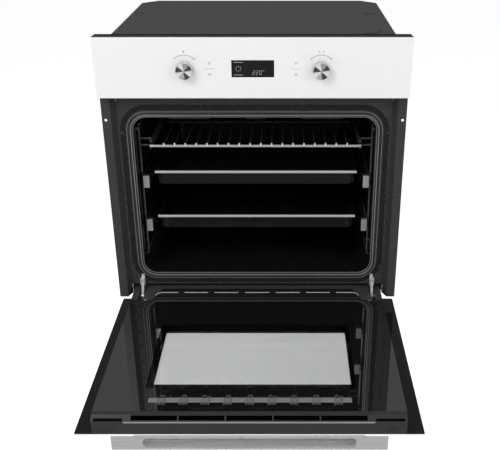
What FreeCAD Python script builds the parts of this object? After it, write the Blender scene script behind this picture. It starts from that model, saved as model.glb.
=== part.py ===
import FreeCAD, Part
import math
import os
import re

import Sketcher

# Built-in wall oven with its door open.
# Frame: X to the right, Y into the cabinet, Z up, millimetres. The origin is on the shelf that the
# oven stands on, half way across, in the plane of the cabinet's front edges.

# ---------------------------------------------------------------- driving sizes

SIZES = {
    # whole front
    "front_width": 595, "front_height": 595, "panel_height": 116, "front_depth": 23,
    "door_gap": 3.5, "door_bottom": 9.5, "corner_radius": 3,
    # casing
    "chassis_width": 544, "chassis_depth": 545, "case_drop": 35, "hat_height": 27,
    "hat_depth": 441, "hat_chamfer": 34, "sheet": 1, "seal_room": 4, "frame_rise": 9,
    "trim_sheet": 1, "trim_flat": 17, "trim_bottom": 34.5, "trim_drop": 5, "screw_hole_inset": 7.5,
    "screw_hole_height": 429, "screw_hole_radius": 2.75, "louvre_length": 70, "louvre_height": 4,
    "louvre_pitch": 12,
    # cavity
    "cavity_width": 486, "cavity_height": 346, "cavity_depth": 410, "cavity_floor": 84,
    "cavity_radius": 28, "seal_gap": 2, "seal_width": 11, "seal_clear": 0.3,
    "insulation_side": 26, "insulation_back": 27, "insulation_under": 28, "under_space": 22,
    # heating
    "baffle_side": 78, "baffle_height": 250, "baffle_depth": 32, "baffle_rise": 168,
    "fan_radius": 76, "fan_depth": 16, "fan_blade": 20, "fan_shaft": 4, "ring_radius": 98,
    "element_radius": 3.2, "grill_drop": 16, "motor_radius": 36, "motor_length": 46,
    "lamp_radius": 24, "lamp_inset": 47, "lamp_drop": 34,
    # cooling
    "shelf_gap": 33, "lip_height": 15, "blower_y": 300, "blower_radius": 86,
    "blower_height": 46, "wheel_radius": 68, "wheel_height": 30, "duct_width": 150,
    "duct_front": 70, "duct_height": 34, "blower_shaft": 4,
    # control panel
    "glass_thick": 4, "housing_wall": 2, "knob_x": 128, "knob_rise": 54, "knob_radius": 16,
    "knob_depth": 15, "knob_shaft": 3, "switch_size": 26, "switch_depth": 12,
    "display_width": 84, "display_height": 36, "display_rise": 56, "display_depth": 14,
    # racks
    "guide_rod": 2.5, "ladder_gap": 3.5, "guide_gap": 29.5, "ladder_front": 62, "ladder_end_gap": 53,
    "ladder_foot": 28, "ladder_rise": 320, "rack_rise": 276.3, "anti_tip": 11.7, "rail_height": 26,
    "upper_rise": 186, "lower_rise": 87, "rail_gap": 0.1, "rail_front": 44, "rail_end_gap": 44,
    "rail_fixed": 6.5, "rail_moving": 7.5, "rail_wall": 1.5, "rack_front": 40, "rack_end_gap": 45,
    "wire_radius": 1.5, "tray_gap": 38, "tray_front": 39, "tray_end_gap": 43, "tray_depth": 30,
    "tray_rise": 15, "tray_sheet": 1.2, "tray_rim": 3, "tray_radius": 18,
    # door
    "pivot_y": 1, "pivot_z": 35, "door_thickness": 38, "inner_half": 267.5, "middle_half": 234,
    "inner_start": 40, "inner_rear": 17.5, "inner_rear_half": 205, "trim_depth": 18.5,
    "bevel_depth": 9.5, "bevel_height": 7, "trim_wall": 2, "vent_half": 199.4,
    "vent_rib_near": 40, "vent_rib_far": 120, "vent_rib": 2.5, "vent_width": 8.2,
    "clip_near": 225, "clip_far": 260, "clip_height": 14, "clip_clear": 0.1, "side_sheet": 1.5,
    "side_flange": 8, "handle_half": 236, "grip_half": 182, "handle_depth": 31,
    "handle_height": 28, "grip_deep": 18, "grip_wall": 6, "grip_radius": 8, "handle_round": 3,
    "cap_half": 196, "cap_thick": 1.5, "cap_height": 6, "handle_screw": 2,
    # hinges
    "hinge_x": 248, "arm_thick": 5, "arm_width": 10, "arm_ring": 9, "pin_radius": 3,
    "pin_clear": 0.05, "channel_half": 7, "channel_wall": 2, "channel_length": 120,
    "arm_over": 12, "lock_clear": 0.8, "lock_wall": 1.4, "lock_under": 9,
    "lock_inset": 6, "lock_radius": 5,
}

# Places worked out from the driving sizes. Each may use any size above and any place before it.
PLACES = {
    "half_front": "front_width / 2",
    "half_case": "chassis_width / 2",
    "half_cavity": "cavity_width / 2",
    "face_y": "-(trim_sheet + front_depth)",
    "closed_inner_y": "door_thickness - trim_sheet - front_depth",
    "frame_y": "closed_inner_y + seal_room",
    "frame_back": "frame_y + sheet",
    "cavity_top": "cavity_floor + cavity_height",
    "cavity_end": "frame_back + cavity_depth",
    "panel_bottom": "front_height - panel_height",
    "lower_height": "front_height - case_drop",
    "trim_top": "front_height - trim_drop",
    "pivot_to_face": "pivot_y + trim_sheet + front_depth",
    "pivot_to_bottom": "pivot_z - door_bottom",
    "door_face": "pivot_z - pivot_to_face",
    "door_inner": "door_face + door_thickness",
    "door_rear": "pivot_y + pivot_to_bottom",
    "door_front": "door_rear - (panel_bottom - door_gap - door_bottom)",
    "glass_top": "door_face + glass_thick",
    "swing_radius": "sqrt((pivot_to_face)^2 + (pivot_to_bottom)^2)",
    "apron_y": "pivot_y + swing_radius + 2.3",
    "frame_foot": "door_inner + frame_rise",
    "inner_front": "door_front + trim_depth",
    "inner_back": "door_rear - inner_rear",
    "seal_front": "closed_inner_y + seal_clear",
    "motor_y": "cavity_end + sheet + insulation_back",
    "baffle_y": "cavity_end - baffle_depth",
    "baffle_centre": "cavity_floor + baffle_rise",
    "lamp_x": "-(half_cavity - lamp_inset)",
    "lamp_z": "cavity_top - lamp_drop",
    "shelf_height": "cavity_top + shelf_gap",
    "duct_floor": "shelf_height",
    "knob_z": "panel_bottom + knob_rise",
    "display_z": "panel_bottom + display_rise",
    "ladder_x": "half_cavity - ladder_gap",
    "guide_x": "half_cavity - guide_gap",
    "ladder_back": "cavity_end - ladder_end_gap",
    "ladder_low": "cavity_floor + ladder_foot",
    "ladder_high": "cavity_floor + ladder_rise",
    "rail_outer": "ladder_x - guide_rod",
    "rail_split": "rail_outer - rail_fixed",
    "rail_inner": "rail_split - rail_moving",
    "rail_end": "cavity_end - rail_end_gap",
    "upper_rail": "cavity_floor + upper_rise",
    "lower_rail": "cavity_floor + lower_rise",
    "rack_level": "cavity_floor + rack_rise",
    "rack_half": "guide_x - 5",
    "rack_end": "cavity_end - rack_end_gap",
    "tray_half": "half_cavity - tray_gap",
    "tray_end": "cavity_end - tray_end_gap",
    "arm_rise": "frame_foot + arm_over - pivot_z",
    "arm_reach": "apron_y - pivot_y",
    "lock_up": "arm_rise - lock_under",
    "lock_forward": "frame_y - pivot_y - lock_inset",
}

# ---------------------------------------------------------------- document and sheet

document = FreeCAD.newDocument("WallOven")
sheet = document.addObject("Spreadsheet::Sheet", "Sizes")
for row, (name, value) in enumerate(SIZES.items(), start=1):
    sheet.set(f"A{row}", name)
    sheet.set(f"B{row}", str(value))
    sheet.setAlias(f"B{row}", name)
document.recompute()

NODES = []


def formula(text):
    """Expression text with each size or place name spelled out as a cell of the sheet."""
    def spelled(match):
        word = match.group()
        if word in PLACES:
            return "(" + formula(PLACES[word]) + ")"
        if word in SIZES:
            return "Sizes." + word
        return word
    return re.sub(r"[a-z_][a-z_0-9]*", spelled, str(text))


def value(name):
    """A size from the sheet, as a number."""
    return float(sheet.get(name))


def bind(thing, path, text):
    thing.setExpression(path, formula(text))


def place(thing, x="0", y="0", z="0"):
    """Binds a piece's position."""
    for axis, text in zip("xyz", (x, y, z)):
        bind(thing, f"Placement.Base.{axis}", text)
    return thing


def node(thing, label):
    """Marks a finished sub-part."""
    thing.Label = label
    NODES.append(thing)
    return thing


# ---------------------------------------------------------------- small builders

TURNS = {
    "x": FreeCAD.Rotation(FreeCAD.Vector(0, 1, 0), 90),
    "y": FreeCAD.Rotation(FreeCAD.Vector(1, 0, 0), -90),
    "z": FreeCAD.Rotation(),
}


def side_span(side, near, far):
    """X limits of a piece between two distances from the middle, on one side of it."""
    if side > 0:
        return near, far
    return f"-({far})", f"-({near})"


def box(name, x, y, z):
    """A block between limits given as (low, high) on each axis."""
    block = document.addObject("Part::Box", name)
    for path, limits in (("Length", x), ("Width", y), ("Height", z)):
        bind(block, path, f"({limits[1]}) - ({limits[0]})")
    return place(block, x[0], y[0], z[0])


def rod(name, axis, start, length, radius):
    """A round bar from start, along an axis."""
    bar = document.addObject("Part::Cylinder", name)
    bar.Placement = FreeCAD.Placement(FreeCAD.Vector(), TURNS[axis])
    bind(bar, "Radius", radius)
    bind(bar, "Height", length)
    return place(bar, *start)


def cut(name, base, *tools):
    """Base less every tool."""
    result = document.addObject("Part::Cut", name)
    result.Base = base
    result.Tool = tools[0] if len(tools) == 1 else fuse(name + "_tools", *tools)
    return result


def fuse(name, *pieces):
    """Pieces joined into one."""
    result = document.addObject("Part::MultiFuse", name)
    result.Shapes = list(pieces)
    return result


def group(name, *pieces):
    """Separate solids kept in one sub-part."""
    result = document.addObject("Part::Compound", name)
    result.Links = list(pieces)
    return result


def edges_where(shape, wanted):
    """Names of the straight edges that wanted(middle, direction) accepts."""
    found = []
    for number, edge in enumerate(shape.Edges, start=1):
        if edge.Degenerated or edge.Curve.TypeId != "Part::GeomLine":
            continue
        direction = edge.tangentAt(edge.FirstParameter)
        middle = edge.valueAt((edge.FirstParameter + edge.LastParameter) / 2)
        if wanted(middle, direction):
            found.append(f"Edge{number}")
    return found


def along(axis):
    return lambda middle, direction: abs(getattr(direction, axis)) > 0.99


def body(name):
    result = document.addObject("PartDesign::Body", name)
    document.recompute()
    return result


def round_edges(owner, base, wanted, radius):
    """A fillet on the chosen edges of a body's feature."""
    document.recompute()
    fillet = owner.newObject("PartDesign::Fillet", base.Name + "_round")
    fillet.Base = (base, edges_where(base.Shape, wanted))
    bind(fillet, "Radius", radius)
    document.recompute()
    return fillet


def solid_box(owner, name, x, y, z, kind="Additive"):
    """A block added to a body, or taken from it."""
    block = document.addObject(f"PartDesign::{kind}Box", name)
    owner.addObject(block)
    for path, limits in (("Length", x), ("Width", y), ("Height", z)):
        bind(block, path, f"({limits[1]}) - ({limits[0]})")
    return place(block, x[0], y[0], z[0])


def rounded_block(name, x, y, z, axis, radius):
    """A block whose four edges along an axis are rounded."""
    owner = body(name)
    block = solid_box(owner, name + "_block", x, y, z)
    round_edges(owner, block, along(axis), radius)
    return owner


def origin_item(owner, role):
    return [item for item in owner.Origin.OriginFeatures if item.Role == role][0]


def sketch_on(owner, plane, name):
    sketch = owner.newObject("Sketcher::SketchObject", name)
    sketch.AttachmentSupport = [(origin_item(owner, plane), "")]
    sketch.MapMode = "FlatFace"
    return sketch


def draw_outline(sketch, corners):
    """A closed outline through corners, each held at its own two coordinates."""
    first = sketch.GeometryCount
    count = len(corners)
    turn = 2 * math.pi / count
    start = [FreeCAD.Vector(9 * math.cos(turn * n), 9 * math.sin(turn * n), 0) for n in range(count)]
    for n in range(count):
        sketch.addGeometry(Part.LineSegment(start[n], start[(n + 1) % count]), False)
    for n, corner in enumerate(corners):
        following = first + (n + 1) % count
        sketch.addConstraint(Sketcher.Constraint("Coincident", first + n, 2, following, 1))
        for kind, text in zip(("DistanceX", "DistanceY"), corner):
            number = sketch.addConstraint(Sketcher.Constraint(kind, first + n, 1, 1.0))
            name = f"{kind}{first + n}"
            sketch.renameConstraint(number, name)
            bind(sketch, "Constraints." + name, text)


def draw_circle(sketch, x, y, radius):
    """A circle held at its centre and radius."""
    number = sketch.addGeometry(Part.Circle(FreeCAD.Vector(), FreeCAD.Vector(0, 0, 1), 5), False)
    for kind, text in (("DistanceX", x), ("DistanceY", y), ("Radius", radius)):
        if kind == "Radius":
            held = sketch.addConstraint(Sketcher.Constraint(kind, number, 5.0))
        else:
            held = sketch.addConstraint(Sketcher.Constraint(kind, number, 3, 1.0))
        name = f"{kind}{number}"
        sketch.renameConstraint(held, name)
        bind(sketch, "Constraints." + name, text)


def pad(owner, sketch, length, reverse=False):
    document.recompute()
    feature = owner.newObject("PartDesign::Pad", sketch.Name + "_pad")
    feature.Profile = sketch
    feature.Reversed = reverse
    bind(feature, "Length", length)
    return feature


def profile(name, plane, corners, length, at=("0", "0", "0")):
    """A body whose outline on a plane is pushed along the plane's axis, towards plus."""
    owner = body(name)
    sketch = sketch_on(owner, plane, name + "_outline")
    draw_outline(sketch, corners)
    pad(owner, sketch, length, reverse=plane == "XZ_Plane")
    return place(owner, *at)


def turned(name, corners, at):
    """A body turned about the Y axis: corners are (along Y, radius)."""
    owner = body(name)
    sketch = sketch_on(owner, "YZ_Plane", name + "_outline")
    draw_outline(sketch, corners)
    document.recompute()
    feature = owner.newObject("PartDesign::Revolution", name + "_turned")
    feature.Profile = sketch
    feature.ReferenceAxis = (sketch, ["H_Axis"])
    feature.Angle = 360
    return place(owner, *at)


def bent_tube(points, radius, bend):
    """A tube through points, with every corner bent to the same radius."""
    edges = []
    start = points[0]
    for before, corner, after in zip(points, points[1:], points[2:]):
        into = (corner - before).normalize()
        out = (after - corner).normalize()
        half = into.getAngle(out) / 2
        reach = bend * math.tan(half)
        first = corner - into * reach
        last = corner + out * reach
        middle = corner + (out - into).normalize() * (bend / math.cos(half) - bend)
        edges.append(Part.LineSegment(start, first).toShape())
        edges.append(Part.Arc(first, middle, last).toShape())
        start = last
    edges.append(Part.LineSegment(start, points[-1]).toShape())
    ring = Part.Circle(points[0], points[1] - points[0], radius).toShape()
    return Part.Wire(edges).makePipeShell([Part.Wire([ring])], True, False)


def bent_part(name, points, radius, bend):
    """A bent tube as a part of its own."""
    part = document.addObject("Part::Feature", name)
    part.Shape = bent_tube(points, radius, bend)
    return part


# ---------------------------------------------------------------- casing

SIDES = {"left": -1, "right": 1}


def front_frame():
    """Enamelled front with the cavity's mouth, folded back under it to clear the door's swing."""
    face = box("frame_face", ("-half_case", "half_case"), ("frame_y", "frame_back"),
               ("frame_foot", "shelf_height - 2"))
    inside = ("-(half_case - sheet)", "half_case - sheet")
    fold = box("frame_fold", inside, ("frame_y", "apron_y"), ("frame_foot", "frame_foot + sheet"))
    apron = box("frame_apron", inside, ("apron_y - sheet", "apron_y"), ("sheet", "frame_foot + sheet"))
    mouth = rounded_block("frame_mouth", ("-half_cavity", "half_cavity"),
                          ("frame_y - 1", "frame_back + 1"), ("cavity_floor", "cavity_top"),
                          "y", "cavity_radius")
    slots = []
    for word, side in SIDES.items():
        slots.append(box(f"frame_slot_{word}", side_span(side, "hinge_x - 6", "hinge_x + 6"),
                         ("frame_y - 1", "apron_y - sheet - 1"),
                         ("pivot_z + arm_rise - arm_width", "pivot_z + arm_rise + 2")))
    node(cut("front_frame", fuse("frame_sheets", face, fold, apron), mouth, *slots), "front_frame")


def casing():
    """Sides, base, back, cover and the shelf over the cavity."""
    for word, side in SIDES.items():
        panel = box(f"side_{word}_sheet", side_span(side, "half_case - sheet", "half_case"),
                    ("apron_y", "chassis_depth"), ("0", "lower_height"))
        front = box(f"side_{word}_front", side_span(side, "half_case - sheet", "half_case"),
                    ("frame_back", "apron_y"), ("trim_bottom", "lower_height"))
        slots = []
        for row in range(6):
            slots.append(box(f"louvre_{word}_{row}",
                             side_span(side, "half_case - sheet - 1", "half_case + 1"),
                             ("chassis_depth - 45 - louvre_length", "chassis_depth - 45"),
                             (f"lower_height - 40 - {row} * louvre_pitch",
                              f"lower_height - 40 - {row} * louvre_pitch + louvre_height")))
        node(cut(f"side_panel_{word}", fuse(f"side_{word}_sheets", panel, front), *slots),
             f"side_panel_{word}")
    inside = ("-(half_case - sheet)", "half_case - sheet")
    node(box("base_panel", inside, ("apron_y", "chassis_depth - sheet"), ("0", "sheet")), "base_panel")
    back = box("rear_sheet", inside, ("chassis_depth - sheet", "chassis_depth"), ("0", "lower_height"))
    slots = []
    for column in (-1, 1):
        for row in range(8):
            middle = f"{column} * 120"
            low = f"lower_height - 70 - {row} * louvre_pitch"
            slots.append(box(f"rear_slot_{column + 1}_{row}",
                             (f"{middle} - louvre_length / 2", f"{middle} + louvre_length / 2"),
                             ("chassis_depth - sheet - 1", "chassis_depth + 1"),
                             (low, f"{low} + louvre_height")))
    node(cut("rear_panel", back, *slots), "rear_panel")


def hat_outline(inset):
    """Plan of the raised cover, with its two rear corners cut off."""
    half = f"(half_case - {inset})"
    back = f"(hat_depth - {inset})"
    slope = f"(hat_chamfer - {inset} * 0.586)"
    return [(f"-{half}", "frame_back"), (half, "frame_back"), (half, f"{back} - {slope}"),
            (f"{half} - {slope}", back), (f"-{half} + {slope}", back), (f"-{half}", f"{back} - {slope}")]


def covers():
    """The raised cover over the electronics and the lower plate behind it."""
    outer = profile("hat_outer", "XY_Plane", hat_outline("0"), "hat_height", ("0", "0", "lower_height"))
    inner = profile("hat_inner", "XY_Plane", hat_outline("sheet"), "hat_height - sheet",
                    ("0", "0", "lower_height"))
    node(cut("top_cover", outer, inner), "top_cover")
    plate = box("rear_plate", ("-half_case", "half_case"),
                ("hat_depth - hat_chamfer", "chassis_depth"), ("lower_height", "lower_height + sheet"))
    core = profile("hat_core", "XY_Plane", hat_outline("0"), "hat_height", ("0", "0", "lower_height - 1"))
    node(cut("rear_cover", plate, core), "rear_cover")
    inside = ("-(half_case - sheet)", "half_case - sheet")
    plate = box("shelf_plate", inside, ("frame_y - 2.5", "chassis_depth - sheet"),
                ("shelf_height - sheet", "shelf_height"))
    lip = box("shelf_lip", inside, ("frame_y - 2.5", "frame_y - 1.5"),
              ("shelf_height - sheet - 2", "shelf_height + lip_height"))
    node(fuse("shelf_sheets", plate, lip), "blower_shelf")


def side_trims():
    """Folded strips beside the door, which the cabinet screws go through."""
    for word, side in SIDES.items():
        corners = [("half_front", "-trim_sheet"), ("half_front", "0"),
                   ("half_front - trim_flat + 0.5", "0"), ("half_case + sheet", "frame_y"),
                   ("half_case", "frame_y"), ("half_front - trim_flat - 0.5", "-trim_sheet")]
        if side < 0:
            corners = [(f"-({x})", y) for x, y in corners]
        strip = profile(f"trim_{word}", "XY_Plane", corners, "trim_top - trim_bottom",
                        ("0", "0", "trim_bottom"))
        hole = rod(f"trim_hole_{word}", "y",
                   (f"{side} * (half_front - screw_hole_inset)", "-5", "screw_hole_height"),
                   "10", "screw_hole_radius")
        node(cut(f"side_trim_{word}", strip, hole), f"side_trim_{word}")


# ---------------------------------------------------------------- cavity

def mouth_block(name, grow, y, radius="cavity_radius"):
    """A block over the cavity's mouth, grown by a margin all round."""
    return rounded_block(name, (f"-(half_cavity + {grow})", f"half_cavity + {grow}"), y,
                         (f"cavity_floor - ({grow})", f"cavity_top + {grow}"), "y", f"{radius} + {grow}")


def cavity():
    """Enamelled liner, its back wall, the blanket round them and the door seal."""
    outer = mouth_block("liner_outer", "sheet", ("frame_back", "cavity_end"))
    inner = mouth_block("liner_inner", "0", ("frame_back - 1", "cavity_end + 1"))
    node(cut("cavity_wrap", outer, inner), "cavity_wrap")
    back = mouth_block("back_plate", "sheet", ("cavity_end", "cavity_end + sheet"))
    bore = rod("back_bore", "y", ("0", "cavity_end - 2", "baffle_centre"), "5", "fan_shaft + 3")
    node(cut("cavity_back", back, bore), "cavity_back")
    block = box("blanket_block", ("-(half_cavity + insulation_side)", "half_cavity + insulation_side"),
                ("apron_y + 2", "motor_y"),
                ("cavity_floor - under_space - insulation_under", "cavity_top + insulation_side"))
    core = box("blanket_core", ("-(half_cavity + sheet)", "half_cavity + sheet"),
               ("apron_y + 1", "cavity_end + sheet"), ("cavity_floor - under_space", "cavity_top + sheet"))
    bore = rod("blanket_bore", "y", ("0", "cavity_end - 1", "baffle_centre"), "60", "fan_shaft + 4")
    node(cut("insulation", block, core, bore), "insulation")
    outer = mouth_block("seal_outer", "seal_gap + seal_width", ("seal_front", "frame_y"))
    inner = mouth_block("seal_inner", "seal_gap", ("seal_front - 1", "frame_y + 1"))
    node(cut("door_seal", outer, inner), "door_seal")


# ---------------------------------------------------------------- heating

def fan_baffle():
    """Cover over the hot-air fan, open at its back, with a round grille and side slots."""
    half = "(half_cavity - baffle_side)"
    low = "baffle_centre - baffle_height / 2"
    high = "baffle_centre + baffle_height / 2"
    shell = rounded_block("baffle_shell", (f"-{half}", half), ("baffle_y", "cavity_end"),
                          (low, high), "y", "14")
    hollow = rounded_block("baffle_hollow", (f"-({half} - sheet)", f"{half} - sheet"),
                           ("baffle_y + sheet", "cavity_end + 1"),
                           (f"{low} + sheet", f"{high} - sheet"), "y", "13")
    openings = [hollow]
    for number in range(7):
        angle = math.pi * number / 6 - math.pi / 2
        openings.append(box(f"grille_{number}",
                            (f"-fan_radius * 0.8 * {math.cos(angle):.4f} - 3",
                             f"fan_radius * 0.8 * {math.cos(angle):.4f} + 3"),
                            ("baffle_y - 1", "baffle_y + sheet + 1"),
                            (f"baffle_centre + ({number} - 3) * fan_radius * 0.26 - 4",
                             f"baffle_centre + ({number} - 3) * fan_radius * 0.26 + 4")))
    for word, side in SIDES.items():
        for number in range(4):
            openings.append(box(f"outlet_{word}_{number}", side_span(side, f"{half} - 5", f"{half} + 5"),
                                ("baffle_y + 8", "cavity_end - 8"),
                                (f"baffle_centre + ({number} - 2) * 52 + 8",
                                 f"baffle_centre + ({number} - 2) * 52 + 44")))
    node(cut("fan_baffle", shell, *openings), "fan_baffle")


def bladed_wheel(name, radius, height, blade, plate, shaft, shaft_length, turn, at, count):
    """A wheel about its own Z axis: a plate, a shaft below it and blades round its rim."""
    owner = body(name)
    sketch = sketch_on(owner, "XY_Plane", name + "_disc")
    draw_circle(sketch, "0", "0", radius)
    pad(owner, sketch, plate)
    stem = sketch_on(owner, "XY_Plane", name + "_stem")
    draw_circle(stem, "0", "0", shaft)
    pad(owner, stem, shaft_length, reverse=True)
    vane = sketch_on(owner, "XY_Plane", name + "_vane")
    draw_outline(vane, [(f"{radius} - {blade}", "2"), (f"{radius} - {blade}", "0.6"),
                        (f"{radius} - 1", "4"), (f"{radius} - 1", "5.4")])
    vane_pad = pad(owner, vane, height)
    document.recompute()
    pattern = owner.newObject("PartDesign::PolarPattern", name + "_vanes")
    pattern.Originals = [vane_pad]
    pattern.Axis = (origin_item(owner, "Z_Axis"), [""])
    pattern.Angle = 360
    pattern.Occurrences = count
    owner.Tip = pattern
    owner.Placement = FreeCAD.Placement(FreeCAD.Vector(), turn)
    return place(owner, *at)


def heating():
    """Hot-air fan, its motor, three tube elements and the lamp."""
    fan_back = "cavity_end - 6"
    fan = bladed_wheel("fan_body", "fan_radius", "fan_depth", "fan_blade", "1.2", "fan_shaft",
                       "motor_y + 6 - (cavity_end - 6)", FreeCAD.Rotation(FreeCAD.Vector(1, 0, 0), 90),
                       ("0", fan_back, "baffle_centre"), 14)
    node(fan, "convection_fan")
    can = rod("motor_can", "y", ("0", "motor_y", "baffle_centre"), "motor_length", "motor_radius")
    flange = box("motor_flange", ("-motor_radius - 14", "motor_radius + 14"), ("motor_y", "motor_y + 1.5"),
                 ("baffle_centre - 12", "baffle_centre + 12"))
    bore = rod("motor_bore", "y", ("0", "motor_y - 1", "baffle_centre"), "9", "fan_shaft + pin_clear")
    node(cut("fan_motor", fuse("motor_pieces", can, flange), bore), "fan_motor")

    radius = value("element_radius")
    mouth = value("door_thickness") - value("trim_sheet") - value("front_depth") + value("seal_room")
    end = mouth + value("sheet") + value("cavity_depth")
    centre = value("cavity_floor") + value("baffle_rise")
    ring = value("ring_radius")
    ring_y = end - value("baffle_depth") / 2 + 2
    gap = 16
    steps = 12
    start = math.asin(gap / ring)
    turns = [start + (2 * math.pi - 2 * start) * n / steps for n in range(steps + 1)]
    around = [FreeCAD.Vector(ring * math.sin(a), ring_y, centre + ring * math.cos(a)) for a in turns]
    tails = [FreeCAD.Vector(p.x, end, p.z) for p in (around[0], around[-1])]
    node(bent_part("ring_element", [tails[0]] + around + [tails[1]], radius, 9), "ring_element")

    high = value("cavity_floor") + value("cavity_height") - value("grill_drop")
    wide = value("cavity_width") / 2 - 62
    near = mouth + 50
    path = [(-22, end), (-22, end - 40), (-wide, end - 40), (-wide, near), (-wide / 2, near),
            (-wide / 2, end - 90), (-22, end - 90), (-22, near), (22, near), (22, end - 90),
            (wide / 2, end - 90), (wide / 2, near), (wide, near), (wide, end - 40), (22, end - 40),
            (22, end)]
    node(bent_part("grill_element", [FreeCAD.Vector(x, y, high) for x, y in path], radius, 14),
         "grill_element")

    low = value("cavity_floor") - value("under_space") + radius
    path = [(-60, end - 10), (-60, end - 60), (-wide, end - 60), (-wide, near + 40), (wide, near + 40),
            (wide, end - 60), (60, end - 60), (60, end - 10)]
    node(bent_part("bottom_element", [FreeCAD.Vector(x, y, low) for x, y in path], radius, 22),
         "bottom_element")

    lens = turned("lamp_lens", [("0", "0"), ("0", "lamp_radius"), ("-4", "lamp_radius"),
                                ("-9", "lamp_radius * 0.78"), ("-13", "lamp_radius * 0.4"), ("-14", "0")],
                  ("lamp_x", "cavity_end", "lamp_z"))
    node(lens, "lamp_lens")


# ---------------------------------------------------------------- cooling and wiring

def cooling():
    """Blower on the shelf that pushes air out over the door, and the terminal block."""
    drum = rod("drum", "z", ("0", "blower_y", "duct_floor"), "blower_height", "blower_radius")
    duct = box("duct", ("-duct_width / 2", "duct_width / 2"), ("duct_front", "blower_y"),
               ("duct_floor", "duct_floor + duct_height"))
    room = rod("drum_room", "z", ("0", "blower_y", "duct_floor + sheet"), "blower_height - 2 * sheet",
               "blower_radius - sheet")
    flow = box("duct_room", ("-(duct_width / 2 - sheet)", "duct_width / 2 - sheet"),
               ("duct_front - 1", "blower_y"), ("duct_floor + sheet", "duct_floor + duct_height - sheet"))
    inlet = rod("inlet", "z", ("0", "blower_y", "duct_floor + blower_height - 3"), "6",
                "wheel_radius * 0.7")
    shell = fuse("blower_shell", drum, duct)
    node(cut("blower_housing", shell, fuse("blower_room", room, flow), inlet), "blower_housing")
    wheel = bladed_wheel("wheel_body", "wheel_radius", "wheel_height", "16", "1.5", "blower_shaft",
                         "blower_height - wheel_height + 6", FreeCAD.Rotation(FreeCAD.Vector(1, 0, 0), 180),
                         ("0", "blower_y", "duct_floor + wheel_height + 5"), 24)
    node(wheel, "blower_wheel")
    top = "duct_floor + blower_height"
    can = rod("blower_can", "z", ("0", "blower_y", f"{top} + 1.5"), "25", "24")
    bridge = box("blower_bridge", ("-wheel_radius * 0.85", "wheel_radius * 0.85"),
                 ("blower_y - 8", "blower_y + 8"), (f"{top} + 1.5", f"{top} + 3"))
    feet = [box(f"blower_foot_{word}", side_span(side, "wheel_radius * 0.75", "wheel_radius * 0.85"),
                ("blower_y - 8", "blower_y + 8"), (top, f"{top} + 3")) for word, side in SIDES.items()]
    bore = rod("blower_bore", "z", ("0", "blower_y", f"{top} + 1"), "14", "blower_shaft + pin_clear")
    node(cut("blower_motor", fuse("blower_motor_pieces", can, bridge, *feet), bore), "blower_motor")
    base = box("terminal_base", ("120", "196"), ("chassis_depth - sheet - 26", "chassis_depth - sheet"),
               ("shelf_height + 3", "shelf_height + 37"))
    wells = [box(f"terminal_well_{n}", (f"126 + {n} * 13", f"135 + {n} * 13"),
                 ("chassis_depth - sheet - 27", "chassis_depth - sheet - 14"),
                 ("shelf_height + 9", "shelf_height + 30")) for n in range(5)]
    node(cut("terminal_block", base, *wells), "terminal_block")


# ---------------------------------------------------------------- control panel

def control_panel():
    """Glass fascia on its housing, with two rotary controls and a display."""
    glass = rounded_block("fascia", ("-half_front", "half_front"), ("face_y", "face_y + glass_thick"),
                          ("panel_bottom", "front_height"), "y", "corner_radius")
    holes = [rod(f"fascia_hole_{word}", "y", (f"{side} * knob_x", "face_y - 1", "knob_z"),
                 "glass_thick + 2", "knob_shaft + 1") for word, side in SIDES.items()]
    node(cut("panel_glass", glass, *holes), "panel_glass")
    shell = rounded_block("housing_shell", ("-(half_front - 0.5)", "half_front - 0.5"),
                          ("face_y + glass_thick", "-trim_sheet"),
                          ("panel_bottom + 2", "front_height - 0.5"), "y", "corner_radius")
    room = box("housing_room", ("-(half_front - 20)", "half_front - 20"),
               ("face_y + glass_thick + housing_wall", "0"),
               ("panel_bottom + 2 + housing_wall", "front_height - 0.5 - housing_wall"))
    tunnels = [rod(f"housing_hole_{word}", "y", (f"{side} * knob_x", "face_y + glass_thick - 1", "knob_z"),
                   "housing_wall + 2", "knob_shaft + 1") for word, side in SIDES.items()]
    window = box("housing_window", ("-display_width / 2", "display_width / 2"),
                 ("face_y + glass_thick - 1", "face_y + glass_thick + housing_wall + 1"),
                 ("display_z - display_height / 2", "display_z + display_height / 2"))
    node(cut("panel_housing", shell, room, window, *tunnels), "panel_housing")
    margin = "0.5"
    node(box("display_module", (f"-display_width / 2 + {margin}", f"display_width / 2 - {margin}"),
             ("face_y + glass_thick", "face_y + glass_thick + display_depth"),
             (f"display_z - display_height / 2 + {margin}", f"display_z + display_height / 2 - {margin}")),
         "display_module")
    names = {"left": ("mode_switch", "mode_knob"), "right": ("temperature_switch", "temperature_knob")}
    switch_front = "face_y + glass_thick + housing_wall"
    for word, side in SIDES.items():
        centre = f"{side} * knob_x"
        block = box(f"switch_block_{word}", (f"{centre} - switch_size / 2", f"{centre} + switch_size / 2"),
                    (switch_front, f"{switch_front} + switch_depth"),
                    ("knob_z - switch_size / 2", "knob_z + switch_size / 2"))
        bore = rod(f"switch_bore_{word}", "y", (centre, f"{switch_front} - 1", "knob_z"),
                   "switch_depth - 1", "knob_shaft + pin_clear")
        node(cut(names[word][0], block, bore), names[word][0])
        front = "-knob_depth - 1"
        corners = [(f"{front} + 0.8", "0"), (f"{front} + 0.8", "knob_radius - 2.2"),
                   (front, "knob_radius - 1.6"), (f"{front} + 0.8", "knob_radius - 0.8"),
                   ("-3", "knob_radius"), ("-1", "knob_radius"), ("-1", "knob_shaft"),
                   ("glass_thick + housing_wall + switch_depth - 4", "knob_shaft"),
                   ("glass_thick + housing_wall + switch_depth - 4", "0")]
        node(turned(names[word][1] + "_body", corners, (centre, "face_y", "knob_z")), names[word][1])


# ---------------------------------------------------------------- racks

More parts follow.
